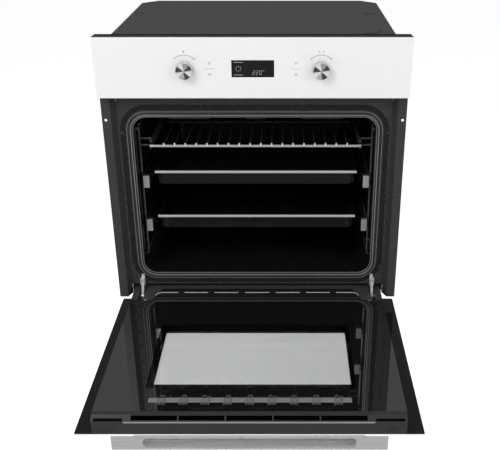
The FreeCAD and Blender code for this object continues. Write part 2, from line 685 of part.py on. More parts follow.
LEVELS = {"upper": "upper_rail", "lower": "lower_rail"}


def ladders():
    """Wire frames hooked on the liner's sides, with the guides that the wire rack slides in."""
    for word, side in SIDES.items():
        wires = []
        for place_name in ("ladder_front", "ladder_back"):
            wires.append(rod(f"upright_{word}_{place_name}", "z",
                             (f"{side} * ladder_x", place_name, "ladder_low"),
                             "ladder_high - ladder_low", "guide_rod"))
            low, _ = side_span(side, "ladder_x", "half_cavity")
            for end in ("ladder_low + 30", "ladder_high - 12"):
                wires.append(rod(f"stud_{word}_{place_name}_{end[7]}", "x", (low, place_name, end),
                                 "half_cavity - ladder_x", "guide_rod * 1.4"))
        for name, height in (("low", "ladder_low + 6"), ("high", "ladder_high - 6")):
            wires.append(rod(f"cross_{word}_{name}", "y", (f"{side} * ladder_x", "ladder_front - 18", height),
                             "ladder_back - ladder_front + 36", "guide_rod"))
        levels = (("under", "rack_level - guide_rod"),
                  ("over", "rack_level + anti_tip"))
        for name, height in levels:
            wires.append(rod(f"guide_{word}_{name}", "y", (f"{side} * guide_x", "ladder_front - 18",
                                                           height),
                             "ladder_back - ladder_front + 26", "guide_rod"))
            for place_name in ("ladder_front", "ladder_back"):
                low, _ = side_span(side, "guide_x", "ladder_x")
                wires.append(rod(f"rung_{word}_{name}_{place_name}", "x", (low, place_name, height),
                                 "ladder_x - guide_x", "guide_rod * 0.9"))
        node(fuse(f"ladder_{word}", *wires), f"rack_ladder_{word}")


def rails():
    """Two-part telescopic rails at two heights."""
    for level, low in LEVELS.items():
        fixed = []
        for word, side in SIDES.items():
            channel = box(f"{level}_fixed_{word}", side_span(side, "rail_split + rail_gap", "rail_outer"),
                          ("rail_front + 8", "rail_end + 4"), (f"{low} + 2", f"{low} + rail_height - 2"))
            groove = box(f"{level}_groove_{word}",
                         side_span(side, "rail_split", "rail_outer - rail_wall"),
                         ("rail_front + 7", "rail_end + 5"),
                         (f"{low} + 2 + rail_wall", f"{low} + rail_height - 2 - rail_wall"))
            fixed.append(cut(f"{level}_channel_{word}", channel, groove))
            slide = box(f"{level}_slide_{word}", side_span(side, "rail_inner", "rail_split"),
                        ("rail_front + 6", "rail_end"), (low, f"{low} + rail_height"))
            tongue = box(f"{level}_tongue_{word}",
                         side_span(side, "rail_split", "rail_outer - rail_wall - rail_gap * 2"),
                         ("rail_front + 6", "rail_end"),
                         (f"{low} + 2 + rail_wall + rail_gap",
                          f"{low} + rail_height - 2 - rail_wall - rail_gap"))
            end = box(f"{level}_end_{word}", side_span(side, "rail_inner", "rail_outer - 2"),
                      ("rail_front", "rail_front + 6"), (low, f"{low} + rail_height"))
            node(fuse(f"{level}_rail_{word}", slide, tongue, end), f"{level}_sliding_rail_{word}")
        node(group(f"{level}_fixed", *fixed), f"{level}_fixed_rails")


def trays():
    """Two enamelled trays that stand on the sliding rails by their wings."""
    for level, low in LEVELS.items():
        rim = f"({low} + rail_height + tray_rise)"
        pan = rounded_block(f"{level}_pan", ("-tray_half", "tray_half"), ("tray_front", "tray_end"),
                            (f"{rim} - tray_depth", rim), "z", "tray_radius")
        room = rounded_block(f"{level}_pan_room", ("-(tray_half - tray_sheet)", "tray_half - tray_sheet"),
                             ("tray_front + tray_sheet", "tray_end - tray_sheet"),
                             (f"{rim} - tray_depth + tray_sheet", f"{rim} + 1"), "z",
                             "tray_radius - tray_sheet")
        brim = box(f"{level}_brim", ("-tray_half - 3", "tray_half + 3"),
                   ("tray_front - 2", "tray_end + 1"), (f"{rim} - tray_sheet", rim))
        roll = rod(f"{level}_roll", "x", ("-tray_half - 3", "tray_front - 2", f"{rim} - tray_rim"),
                   "tray_half * 2 + 6", "tray_rim")
        wings = []
        for word, side in SIDES.items():
            wings.append(box(f"{level}_wing_{word}",
                             side_span(side, "tray_half - tray_sheet", "rail_split - 0.5"),
                             ("rail_front + 12", "tray_end - 20"),
                             (f"{low} + rail_height", f"{low} + rail_height + tray_sheet")))
        whole = fuse(f"{level}_tray_pieces", pan, brim, roll, *wings)
        node(cut(f"{level}_tray_cut", whole, room), f"{level}_tray")


def wire_rack():
    """Chromed shelf: a rod frame with thinner rods from front to back."""
    across = []
    heavy = "guide_rod"
    level = "rack_level + guide_rod"
    for name, y in (("front", "rack_front"), ("back", "rack_end")):
        across.append(rod(f"rack_{name}", "x", ("-guide_x", y, level), "guide_x * 2", heavy))
    for word, side in SIDES.items():
        across.append(rod(f"rack_side_{word}", "y", (f"{side} * guide_x", "rack_front", level),
                          "rack_end - rack_front", heavy))
    across.append(rod("rack_brace", "x", ("-rack_half + 4", "(rack_front + rack_end) / 2", "rack_level + 0.8"),
                      "rack_half * 2 - 8", heavy))
    count = 18
    for number in range(count):
        share = (number + 1) / (count + 1) * 2 - 1
        across.append(rod(f"rack_wire_{number}", "y", (f"rack_half * {share:.4f}", "rack_front - 1",
                                                      "rack_level + guide_rod + 1.5"),
                          "rack_end - rack_front + 2", "wire_radius"))
    node(fuse("rack_rods", *across), "wire_rack")


# ---------------------------------------------------------------- door, lying open

def door_glass():
    """Outer, middle and inner panes. The inner one has its rear corners cut away at the hinges."""
    node(rounded_block("outer_pane", ("-half_front", "half_front"), ("door_front", "door_rear"),
                       ("door_face", "glass_top"), "z", "corner_radius"), "door_outer_glass")
    node(rounded_block("middle_pane", ("-middle_half", "middle_half"), ("inner_front + 6", "inner_back - 12"),
                       ("door_inner - 18", "door_inner - 14"), "z", "corner_radius"), "door_middle_glass")
    step = "(door_rear - inner_start - 25)"
    corners = [("-inner_half", "inner_front"), ("inner_half", "inner_front"), ("inner_half", step),
               ("inner_half - 45", step), ("inner_rear_half", "inner_back"),
               ("-inner_rear_half", "inner_back"), ("-(inner_half - 45)", step), ("-inner_half", step)]
    pane = profile("inner_pane", "XY_Plane", corners, "glass_thick", ("0", "0", "door_inner - glass_thick"))
    node(pane, "door_inner_glass")


def door_sides():
    """Steel channels down both sides of the door."""
    for word, side in SIDES.items():
        length = ("inner_front", "door_rear - 3")
        wall = box(f"rail_wall_{word}", side_span(side, "inner_half - 2 - side_sheet", "inner_half - 2"),
                   length, ("glass_top", "door_inner - glass_thick"))
        flanges = [box(f"rail_flange_{word}_{n}",
                       side_span(side, "inner_half - 2 - side_flange", "inner_half - 2"), length, z)
                   for n, z in enumerate((("glass_top", "glass_top + side_sheet"),
                                          ("door_inner - glass_thick - side_sheet",
                                           "door_inner - glass_thick")))]
        ledges = [box(f"ledge_{word}_{n}", side_span(side, "middle_half - 6", "inner_half - 2 - side_sheet"),
                      (f"door_rear - {150 + 110 * n}", f"door_rear - {130 + 110 * n}"),
                      ("door_inner - 18 - side_sheet", "door_inner - 18")) for n in range(3)]
        node(fuse(f"door_side_{word}", wall, *flanges, *ledges), f"door_side_{word}")


def top_trim_outline(inset, open_end):
    """Section of the strip along the door's free edge: upright face, bevel with vents, flat."""
    front = f"door_front + {inset}"
    high = f"door_inner - {inset}"
    lean = f"{inset} * 0.4"
    return [(front, f"glass_top + {inset}"), (open_end, f"glass_top + {inset}"), (open_end, high),
            (f"door_front + bevel_depth + {lean}", high), (front, f"door_inner - bevel_height - {lean}")]


def door_trims():
    """Vented strip on the free edge with its two release clips, and the strip at the hinges."""
    outer = profile("top_trim_outer", "YZ_Plane", top_trim_outline("0", "inner_front"),
                    "(inner_half - 1) * 2", ("-(inner_half - 1)", "0", "0"))
    hollow = profile("top_trim_hollow", "YZ_Plane", top_trim_outline("trim_wall", "inner_front + 1"),
                     "(inner_half - 3) * 2", ("-(inner_half - 3)", "0", "0"))
    openings = [hollow]
    far, mid, near, rib = "vent_half", "vent_rib_far", "vent_rib_near", "vent_rib / 2"
    spans = [(f"-{near} + {rib}", f"{near} - {rib}")]
    for side in SIDES.values():
        spans.append(side_span(side, f"{near} + {rib}", f"{mid} - {rib}"))
        spans.append(side_span(side, f"{mid} + {rib}", far))
    vent_y = ("door_front + 1", "door_front + 1 + vent_width")
    for number, span in enumerate(spans):
        openings.append(box(f"vent_{number}", span, vent_y,
                            ("door_inner - bevel_height - trim_wall", "door_inner + 1")))
    for word, side in SIDES.items():
        openings.append(box(f"recess_{word}", side_span(side, "vent_half + 14", "inner_half - 5"),
                            ("door_front - 1", "door_front + bevel_depth / 2"),
                            ("door_inner - bevel_height - 1", "door_inner + 1")))
        openings.append(box(f"clip_seat_{word}",
                            side_span(side, "clip_near - clip_clear", "clip_far + clip_clear"),
                            ("door_front - 1", "door_front + trim_wall + 1"),
                            ("glass_top + trim_wall + 1 - clip_clear",
                             "glass_top + trim_wall + 1 + clip_height + clip_clear")))
        cap = rounded_block(f"clip_cap_{word}", side_span(side, "clip_near", "clip_far"),
                            ("door_front", "door_front + trim_wall + 4"),
                            ("glass_top + trim_wall + 1", "glass_top + trim_wall + 1 + clip_height"),
                            "y", "2.5")
        ridges = [box(f"clip_ridge_{word}_{n}", side_span(side, "clip_near + 11", "clip_far - 11"),
                      ("door_front - 0.6", "door_front + 1"),
                      (f"glass_top + trim_wall + {5 + 4 * n}", f"glass_top + trim_wall + {6.4 + 4 * n}"))
                  for n in range(2)]
        node(fuse(f"clip_{word}", cap, *ridges), f"trim_clip_{word}")
    node(cut("door_top_trim", outer, *openings), "door_top_trim")

    step = "(door_rear - inner_start - 24.5)"
    top = ("door_inner - glass_thick", "door_inner")
    bar = box("bottom_bar", ("-(inner_half - 0.5)", "inner_half - 0.5"), ("inner_back + 0.5", "door_rear"),
              top)
    upright = box("bottom_wall", ("-(inner_half - 0.5)", "inner_half - 0.5"),
                  ("door_rear - side_sheet", "door_rear"), ("glass_top", "door_inner"))
    pieces = [bar, upright]
    slots = []
    for word, side in SIDES.items():
        corners = [("inner_half - 0.5", "inner_back + 1"), ("inner_rear_half + 1", "inner_back + 1"),
                   ("inner_half - 44.5", step), ("inner_half - 0.5", step)]
        if side < 0:
            corners = [(f"-({x})", y) for x, y in corners]
        pieces.append(profile(f"corner_cover_{word}", "XY_Plane", corners, "glass_thick",
                              ("0", "0", "door_inner - glass_thick")))
        slots.append(box(f"arm_slot_{word}",
                         side_span(side, "hinge_x - channel_half + 1", "hinge_x + channel_half - 1"),
                         ("door_rear - inner_start - 26", "door_rear - 6"),
                         ("door_inner - glass_thick - 1", "door_inner + 1")))
    node(cut("door_bottom_trim", fuse("bottom_trim_pieces", *pieces), *slots), "door_bottom_trim")


def handle():
    """Aluminium bar with solid ends and a scooped grip, and the screws that hold it."""
    owner = body("handle_body")
    top = "door_face"
    solid_box(owner, "handle_bar", ("-handle_half", "handle_half"),
              ("door_front", "door_front + handle_height"), (f"{top} - handle_depth", top))
    solid_box(owner, "handle_cap", ("-cap_half", "cap_half"),
              ("door_front - cap_thick", "door_front"), (f"{top} - 4", f"{top} + cap_height - 4"))
    scoop = solid_box(owner, "handle_scoop", ("-grip_half", "grip_half"),
                      ("door_front - cap_thick - 1", "door_front + grip_deep"),
                      (f"{top} - handle_depth + grip_wall", f"{top} - 5"), "Subtractive")
    document.recompute()
    deep = value("grip_deep")
    half = value("grip_half")
    front = scoop.Shape.BoundBox.YMin
    floor = scoop.Shape.BoundBox.ZMin

    def scoop_edge(middle, direction):
        """The scoop's back and end lines, but not those of its mouth."""
        behind = front + deep / 2 < middle.y < front + deep + 6
        end_line = abs(direction.z) < 0.01 and abs(abs(middle.x) - half) < 0.1 and middle.y < front + deep + 6
        return behind and abs(middle.x) < half + 0.1 or end_line and abs(direction.y) > 0.99

    def outer_line(middle, direction):
        return abs(direction.x) > 0.99 and middle.z < floor + 0.1

    rounded = round_edges(owner, scoop, scoop_edge, "grip_radius")
    finished = round_edges(owner, rounded, outer_line, "handle_round")
    owner.Tip = finished
    bores = []
    screws = []
    for word, side in SIDES.items():
        centre = f"{side} * (handle_half + grip_half) / 2"
        line = "inner_front + 6"
        bores.append(rod(f"handle_bore_{word}", "z", (centre, line, "door_face - 16"), "17",
                         "handle_screw + 0.1"))
        shank = rod(f"screw_shank_{word}", "z", (centre, line, "door_face - 15"), "15 + glass_thick",
                    "handle_screw")
        head = rod(f"screw_head_{word}", "z", (centre, line, "glass_top"), "3", "handle_screw * 2")
        screws.append(fuse(f"handle_screw_{word}", shank, head))
    node(cut("handle", owner, *bores), "handle")
    node(group("screws", *screws), "handle_screws")
    return screws


def drill_outer_glass(screws):
    """Clearance holes for the handle's screws in the outer pane."""
    pane = NODES[[item.Label for item in NODES].index("door_outer_glass")]
    NODES.remove(pane)
    pane.Label = "outer_pane_blank"
    holes = []
    for word, side in SIDES.items():
        centre = f"{side} * (handle_half + grip_half) / 2"
        holes.append(rod(f"pane_hole_{word}", "z", (centre, "inner_front + 6", "door_face - 1"),
                         "glass_thick + 2", "handle_screw + 0.6"))
    node(cut("outer_pane_drilled", pane, *holes), "door_outer_glass")


# ---------------------------------------------------------------- hinges

def hinges():
    """Claw arms fixed to the casing, channels with the hinge pins in the door, and the locks."""
    for word, side in SIDES.items():
        wall_near = "hinge_x - channel_half - channel_wall"
        wall_far = "hinge_x + channel_half"
        y = ("door_rear - side_sheet - channel_length", "door_rear - side_sheet")
        z = ("glass_top", "door_inner - glass_thick - 0.5")
        walls = [box(f"channel_{word}_{n}", side_span(side, near, f"{near} + channel_wall"), y, z)
                 for n, near in enumerate((wall_near, wall_far))]
        floor = box(f"channel_{word}_floor", side_span(side, wall_near, f"{wall_far} + channel_wall"), y,
                    ("glass_top", "glass_top + channel_wall"))
        low, _ = side_span(side, wall_near, f"{wall_far} + channel_wall")
        pin = rod(f"channel_{word}_pin", "x", (low, "pivot_y", "pivot_z"),
                  "(channel_half + channel_wall) * 2", "pin_radius")
        node(fuse(f"hinge_channel_{word}", *walls, floor, pin), f"hinge_channel_{word}")

        low, _ = side_span(side, "hinge_x - arm_thick / 2", "hinge_x + arm_thick / 2")
        ring = rod(f"arm_{word}_ring", "x", (low, "pivot_y", "pivot_z"), "arm_thick", "arm_ring")
        corners = [("-arm_width / 2", "arm_ring / 2"), ("arm_width / 2 + 1", "arm_ring / 2 - 2"),
                   ("frame_y - pivot_y - 1", "arm_rise - arm_width"),
                   ("arm_reach", "arm_rise - arm_width"), ("arm_reach", "arm_rise"),
                   ("frame_y - pivot_y - 9", "arm_rise")]
        bar = profile(f"arm_{word}_bar", "YZ_Plane", corners, "arm_thick", (low, "pivot_y", "pivot_z"))
        hole = rod(f"arm_{word}_hole", "x", (f"{low} - 1", "pivot_y", "pivot_z"), "arm_thick + 2",
                   "pin_radius + pin_clear")
        catch = rod(f"arm_{word}_catch", "x", (f"({low}) - lock_clear - lock_wall",
                                               "pivot_y + lock_forward", "pivot_z + lock_up"),
                    "arm_thick + (lock_clear + lock_wall) * 2", "1.5")
        node(fuse(f"hinge_arm_{word}", cut(f"arm_{word}_cut", fuse(f"arm_{word}", ring, bar), hole), catch),
             f"hinge_arm_{word}")

        cheeks = []
        for n, near in enumerate(("hinge_x - arm_thick / 2 - lock_clear - lock_wall",
                                  "hinge_x + arm_thick / 2 + lock_clear")):
            low, _ = side_span(side, near, f"{near} + lock_wall")
            disc = rod(f"lock_{word}_disc_{n}", "x", (low, "pivot_y + lock_forward", "pivot_z + lock_up"),
                       "lock_wall", "lock_radius")
            blade = box(f"lock_{word}_blade_{n}", side_span(side, near, f"{near} + lock_wall"),
                        ("pivot_y + lock_forward - lock_radius", "pivot_y + lock_forward + lock_radius"),
                        ("pivot_z + lock_up", "pivot_z + lock_up + 14"))
            cheeks += [disc, blade]
        bridge = box(f"lock_{word}_bridge",
                     side_span(side, "hinge_x - arm_thick / 2 - lock_clear - lock_wall",
                               "hinge_x + arm_thick / 2 + lock_clear + lock_wall"),
                     ("pivot_y + lock_forward - lock_radius", "pivot_y + lock_forward + lock_radius"),
                     ("pivot_z + arm_rise + lock_clear", "pivot_z + lock_up + 14"))
        low, _ = side_span(side, "hinge_x - arm_thick / 2 - lock_clear - lock_wall - 1",
                           "hinge_x + arm_thick / 2 + lock_clear + lock_wall + 1")
        eye = rod(f"lock_{word}_eye", "x", (low, "pivot_y + lock_forward", "pivot_z + lock_up"),
                  "arm_thick + (lock_clear + lock_wall + 1) * 2", "1.5 + pin_clear")
        node(cut(f"hinge_lock_{word}", fuse(f"lock_{word}", *cheeks, bridge), eye), f"hinge_lock_{word}")


# ---------------------------------------------------------------- build, check, write

def check():
    """Stops if any object failed or any sub-part has no sound shape."""
    document.recompute()
    for item in document.Objects:
        if "Invalid" in item.State or "Error" in item.State:
            raise RuntimeError(f"{item.Label} failed: {item.State}")
    for item in NODES:
        if item.Shape.isNull() or not item.Shape.isValid() or item.Shape.Volume <= 0:
            raise RuntimeError(f"{item.Label} has no sound shape")


def main():
    front_frame()
    casing()
    covers()
    side_trims()
    cavity()
    fan_baffle()
    heating()
    cooling()
    control_panel()
    ladders()
    rails()
    trays()
    wire_rack()
    door_glass()
    door_sides()
    door_trims()
    drill_outer_glass(handle())
    hinges()
    check()
    os.makedirs("parts", exist_ok=True)
    for item in NODES:
        item.Shape.exportStep(f"parts/{item.Label}.step")
        print(f"{item.Label:24s} solids {len(item.Shape.Solids)}  volume {item.Shape.Volume / 1000:9.1f} cm3")
    print(f"{len(NODES)} sub-parts")


main()
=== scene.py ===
import bmesh
import bpy
import math
from mathutils import Euler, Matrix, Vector


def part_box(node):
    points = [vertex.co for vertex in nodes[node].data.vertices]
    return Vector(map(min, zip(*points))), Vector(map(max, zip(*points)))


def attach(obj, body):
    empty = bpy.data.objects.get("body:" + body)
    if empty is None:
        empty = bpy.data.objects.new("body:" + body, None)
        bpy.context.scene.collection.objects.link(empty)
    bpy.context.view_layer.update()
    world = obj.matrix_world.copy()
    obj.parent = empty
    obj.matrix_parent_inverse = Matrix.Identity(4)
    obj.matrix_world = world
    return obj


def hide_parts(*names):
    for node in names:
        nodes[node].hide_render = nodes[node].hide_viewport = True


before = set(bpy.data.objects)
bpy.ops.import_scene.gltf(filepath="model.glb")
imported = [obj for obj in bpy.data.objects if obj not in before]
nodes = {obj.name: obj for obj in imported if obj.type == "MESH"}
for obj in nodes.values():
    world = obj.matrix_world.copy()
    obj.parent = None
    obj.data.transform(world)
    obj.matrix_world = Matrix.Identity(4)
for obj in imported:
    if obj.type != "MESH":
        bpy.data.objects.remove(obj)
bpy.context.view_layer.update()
print("frame loaded:", len(nodes), "nodes")

mm = 0.001

# camera: a little above the panel and just right of the middle, looking down at the open door
eye = {"place": (61.1 * mm, -1515.5 * mm, 885.2 * mm), "tiltDown": 26.3, "lens": 57.47, "shiftX": -0.0709, "shiftY": 0.0587}
cameraData = bpy.data.cameras.new("viewCamera")
cameraData.lens = eye["lens"]
cameraData.sensor_width = 36
cameraData.shift_x = eye["shiftX"]
cameraData.shift_y = eye["shiftY"]
cameraData.clip_end = 50
viewCamera = bpy.data.objects.new("viewCamera", cameraData)
viewCamera.location = eye["place"]
viewCamera.rotation_euler = (math.radians(90 - eye["tiltDown"]), 0, 0)
bpy.context.scene.collection.objects.link(viewCamera)
bpy.context.scene.camera = viewCamera
print("camera placed")

# studio: pale floor well below the shelf line, white surround, three soft lamps
studio = {
    "floorZ": -0.62, "floorSize": 30, "floorGlow": 0.42, "floorMirrored": 0.12, "seen": 1.0, "lit": 0.62, "mirrorFront": 0.1, "mirrorBack": 0.17,
    "lamps": [
        {"name": "keyLamp", "place": (-1.3, -1.7, 1.9), "aim": (0, 0.0, 0.3), "size": 1.2, "power": 30},
        {"name": "fillLamp", "place": (1.8, -1.5, 1.2), "aim": (0, 0.0, 0.2), "size": 1.4, "power": 13},
        {"name": "backLamp", "place": (0.2, 1.9, 1.8), "aim": (0, 0.2, 0.5), "size": 1.4, "power": 8},
    ],
}


def mathNode(tree, operation, first, second):
    node = tree.nodes.new("ShaderNodeMath")
    node.operation = operation
    for socket, item in zip(node.inputs, (first, second)):
        if isinstance(item, (int, float)):
            socket.default_value = item
        else:
            tree.links.new(item, socket)
    return node.outputs[0]


def pickStrength(tree, share, low, high):
    # low where share is 0, high where it is 1
    mix = tree.nodes.new("ShaderNodeMix")
    for socket, item in ((mix.inputs[0], share), (mix.inputs[2], low), (mix.inputs[3], high)):
        if isinstance(item, float):
            socket.default_value = item
        else:
            tree.links.new(item, socket)
    return mix.outputs[0]


def makeRoom():
    # white to the eye, softer as a light, and dim ahead of the oven in its reflections
    world = bpy.data.worlds.new("whiteRoom")
    world.use_nodes = True
    tree = world.node_tree
    rays = tree.nodes.new("ShaderNodeLightPath")
    split = tree.nodes.new("ShaderNodeSeparateXYZ")
    tree.links.new(tree.nodes.new("ShaderNodeTexCoord").outputs["Generated"], split.inputs[0])
    spread = tree.nodes.new("ShaderNodeMapRange")
    spread.inputs["From Min"].default_value = -0.5
    spread.inputs["From Max"].default_value = 0.6
    spread.inputs["To Min"].default_value = studio["mirrorFront"]
    spread.inputs["To Max"].default_value = studio["mirrorBack"]
    tree.links.new(split.outputs["Y"], spread.inputs["Value"])
    mirrored = pickStrength(tree, rays.outputs["Is Glossy Ray"], studio["lit"], spread.outputs["Result"])
    strength = pickStrength(tree, rays.outputs["Is Camera Ray"], mirrored, studio["seen"])
    tree.links.new(strength, tree.nodes["Background"].inputs["Strength"])
    tree.nodes["Background"].inputs["Color"].default_value = (1, 1, 1, 1)
    bpy.context.scene.world = world


def setStudio():
    makeRoom()
    half = studio["floorSize"] / 2
    mesh = bpy.data.meshes.new("studioFloor")
    mesh.from_pydata([(-half, -half, 0), (half, -half, 0), (half, half, 0), (-half, half, 0)], [], [(0, 1, 2, 3)])
    floor = bpy.data.objects.new("studioFloor", mesh)
    floor.location.z = studio["floorZ"]
    paint = bpy.data.materials.new("floorPaint")
    paint.use_nodes = True
    tree = paint.node_tree
    shader = tree.nodes["Principled BSDF"]
    rays = tree.nodes.new("ShaderNodeLightPath")
    mirrored = mathNode(tree, "MULTIPLY", rays.outputs["Is Glossy Ray"], rays.outputs["Is Reflection Ray"])
    tree.links.new(pickStrength(tree, mirrored, 0.93, studio["floorMirrored"]), shader.inputs["Base Color"])
    tree.links.new(pickStrength(tree, mirrored, studio["floorGlow"], 0.0), shader.inputs["Emission Strength"])
    shader.inputs["Roughness"].default_value = 0.9
    shader.inputs["Emission Color"].default_value = (1, 1, 1, 1)
    mesh.materials.append(paint)
    bpy.context.scene.collection.objects.link(floor)
    for lamp in studio["lamps"]:
        data = bpy.data.lights.new(lamp["name"], "AREA")
        data.shape = "SQUARE"
        data.size = lamp["size"]
        data.energy = lamp["power"]
        thing = bpy.data.objects.new(lamp["name"], data)
        thing.location = lamp["place"]
        aim = Vector(lamp["aim"]) - Vector(lamp["place"])
        thing.rotation_euler = aim.to_track_quat("-Z", "Y").to_euler()
        thing.visible_glossy = lamp["place"][1] < 0
        bpy.context.scene.collection.objects.link(thing)
    bpy.context.scene.view_settings.view_transform = "Standard"


setStudio()
print("studio set")

# shader groups, each used by several finishes


def newGroup(name, inputs, outputs):
    group = bpy.data.node_groups.new(name, "ShaderNodeTree")
    for label, kind, start in inputs:
        socket = group.interface.new_socket(label, in_out="INPUT", socket_type=kind)
        if start is not None:
            socket.default_value = start
    for label, kind in outputs:
        group.interface.new_socket(label, in_out="OUTPUT", socket_type=kind)
    return group, group.nodes.new("NodeGroupInput"), group.nodes.new("NodeGroupOutput")


def makeGrainGroup():
    group, start, end = newGroup("fineGrain", [("Vector", "NodeSocketVector", None), ("Scale", "NodeSocketFloat", 400.0),
                                               ("Stretch", "NodeSocketVector", (1, 1, 1)), ("Contrast", "NodeSocketFloat", 0.5)],
                                 [("Mask", "NodeSocketFloat")])
    stretch = group.nodes.new("ShaderNodeVectorMath")
    stretch.operation = "MULTIPLY"
    noise = group.nodes.new("ShaderNodeTexNoise")
    noise.inputs["Detail"].default_value = 3
    group.links.new(start.outputs["Vector"], stretch.inputs[0])
    group.links.new(start.outputs["Stretch"], stretch.inputs[1])
    group.links.new(stretch.outputs[0], noise.inputs["Vector"])
    group.links.new(start.outputs["Scale"], noise.inputs["Scale"])
    centred = mathNode(group, "SUBTRACT", noise.outputs["Fac"], 0.5)
    scaled = mathNode(group, "MULTIPLY", centred, start.outputs["Contrast"])
    doubled = mathNode(group, "MULTIPLY", scaled, 4)
    group.links.new(mathNode(group, "ADD", doubled, 0.5), end.inputs["Mask"])
    return group


def makeSmearGroup():
    group, start, end = newGroup("softSmears", [("Vector", "NodeSocketVector", None), ("Scale", "NodeSocketFloat", 9.0),
                                                ("Low", "NodeSocketFloat", 0.1), ("High", "NodeSocketFloat", 0.3)],
                                 [("Roughness", "NodeSocketFloat")])
    noise = group.nodes.new("ShaderNodeTexNoise")
    noise.inputs["Detail"].default_value = 4
    noise.inputs["Distortion"].default_value = 0.6
    group.links.new(start.outputs["Vector"], noise.inputs["Vector"])
    group.links.new(start.outputs["Scale"], noise.inputs["Scale"])
    spread = group.nodes.new("ShaderNodeMapRange")
    spread.inputs["From Min"].default_value = 0.3
    spread.inputs["From Max"].default_value = 0.7
    group.links.new(noise.outputs["Fac"], spread.inputs["Value"])
    group.links.new(start.outputs["Low"], spread.inputs["To Min"])
    group.links.new(start.outputs["High"], spread.inputs["To Max"])
    group.links.new(spread.outputs["Result"], end.inputs["Roughness"])
    return group


def makeFleckGroup():
    group, start, end = newGroup("enamelFlecks", [("Vector", "NodeSocketVector", None), ("Scale", "NodeSocketFloat", 300.0),
                                                  ("Size", "NodeSocketFloat", 0.16)], [("Mask", "NodeSocketFloat")])
    cells = group.nodes.new("ShaderNodeTexVoronoi")
    group.links.new(start.outputs["Vector"], cells.inputs["Vector"])
    group.links.new(start.outputs["Scale"], cells.inputs["Scale"])
    group.links.new(mathNode(group, "LESS_THAN", cells.outputs["Distance"], start.outputs["Size"]), end.inputs["Mask"])
    return group


def makeWindowGroup():
    group, start, end = newGroup("windowMask", [("Vector", "NodeSocketVector", None), ("Half Width", "NodeSocketFloat", 0.18),
                                                ("Near", "NodeSocketFloat", -0.3), ("Far", "NodeSocketFloat", -0.1),
                                                ("Softness", "NodeSocketFloat", 0.0005)], [("Mask", "NodeSocketFloat")])
    split = group.nodes.new("ShaderNodeSeparateXYZ")
    group.links.new(start.outputs["Vector"], split.inputs[0])
    inside = mathNode(group, "SUBTRACT", start.outputs["Half Width"], mathNode(group, "ABSOLUTE", split.outputs["X"], 0))
    below = mathNode(group, "SUBTRACT", start.outputs["Far"], split.outputs["Y"])
    above = mathNode(group, "SUBTRACT", split.outputs["Y"], start.outputs["Near"])
    nearest = mathNode(group, "MINIMUM", inside, mathNode(group, "MINIMUM", below, above))
    share = group.nodes.new("ShaderNodeMath")
    share.operation = "DIVIDE"
    share.use_clamp = True
    group.links.new(nearest, share.inputs[0])
    group.links.new(start.outputs["Softness"], share.inputs[1])
    group.links.new(share.outputs[0], end.inputs["Mask"])
    return group


def makeSpunGroup():
    group, start, end = newGroup("spunRingsAndSheen", [("Vector", "NodeSocketVector", None), ("Centre", "NodeSocketVector", (0, 0, 0)),
                                               ("Rings", "NodeSocketFloat", 2500.0)],
                                 [("PaintedSheen", "NodeSocketFloat"), ("Rings", "NodeSocketFloat")])
    shift = group.nodes.new("ShaderNodeVectorMath")
    shift.operation = "SUBTRACT"
    group.links.new(start.outputs["Vector"], shift.inputs[0])
    group.links.new(start.outputs["Centre"], shift.inputs[1])
    split = group.nodes.new("ShaderNodeSeparateXYZ")
    group.links.new(shift.outputs[0], split.inputs[0])
    # a painted bow-tie reflection, light and dark by angle round the centre
    angle = mathNode(group, "ARCTAN2", split.outputs["Z"], split.outputs["X"])
    wave = mathNode(group, "SINE", mathNode(group, "ADD", mathNode(group, "MULTIPLY", angle, 3), 2.4), 0)
    ripple = mathNode(group, "SINE", mathNode(group, "ADD", mathNode(group, "MULTIPLY", angle, 5), 3.1), 0)
    mixed = mathNode(group, "ADD", mathNode(group, "MULTIPLY", wave, 0.7), mathNode(group, "MULTIPLY", ripple, 0.45))
    sheenShare = group.nodes.new("ShaderNodeMath")
    sheenShare.operation = "ADD"
    sheenShare.use_clamp = True
    group.links.new(mixed, sheenShare.inputs[0])
    sheenShare.inputs[1].default_value = 0.5
    group.links.new(sheenShare.outputs[0], end.inputs["PaintedSheen"])
    flat = group.nodes.new("ShaderNodeCombineXYZ")
    group.links.new(split.outputs["X"], flat.inputs["X"])
    group.links.new(split.outputs["Z"], flat.inputs["Z"])
    reach = group.nodes.new("ShaderNodeVectorMath")
    reach.operation = "LENGTH"
    group.links.new(flat.outputs[0], reach.inputs[0])
    rings = mathNode(group, "SINE", mathNode(group, "MULTIPLY", reach.outputs["Value"], start.outputs["Rings"]), 0)
    group.links.new(rings, end.inputs["Rings"])
    return group


grainGroup = makeGrainGroup()
smearGroup = makeSmearGroup()
fleckGroup = makeFleckGroup()
windowGroup = makeWindowGroup()
spunGroup = makeSpunGroup()
print("shader groups made")

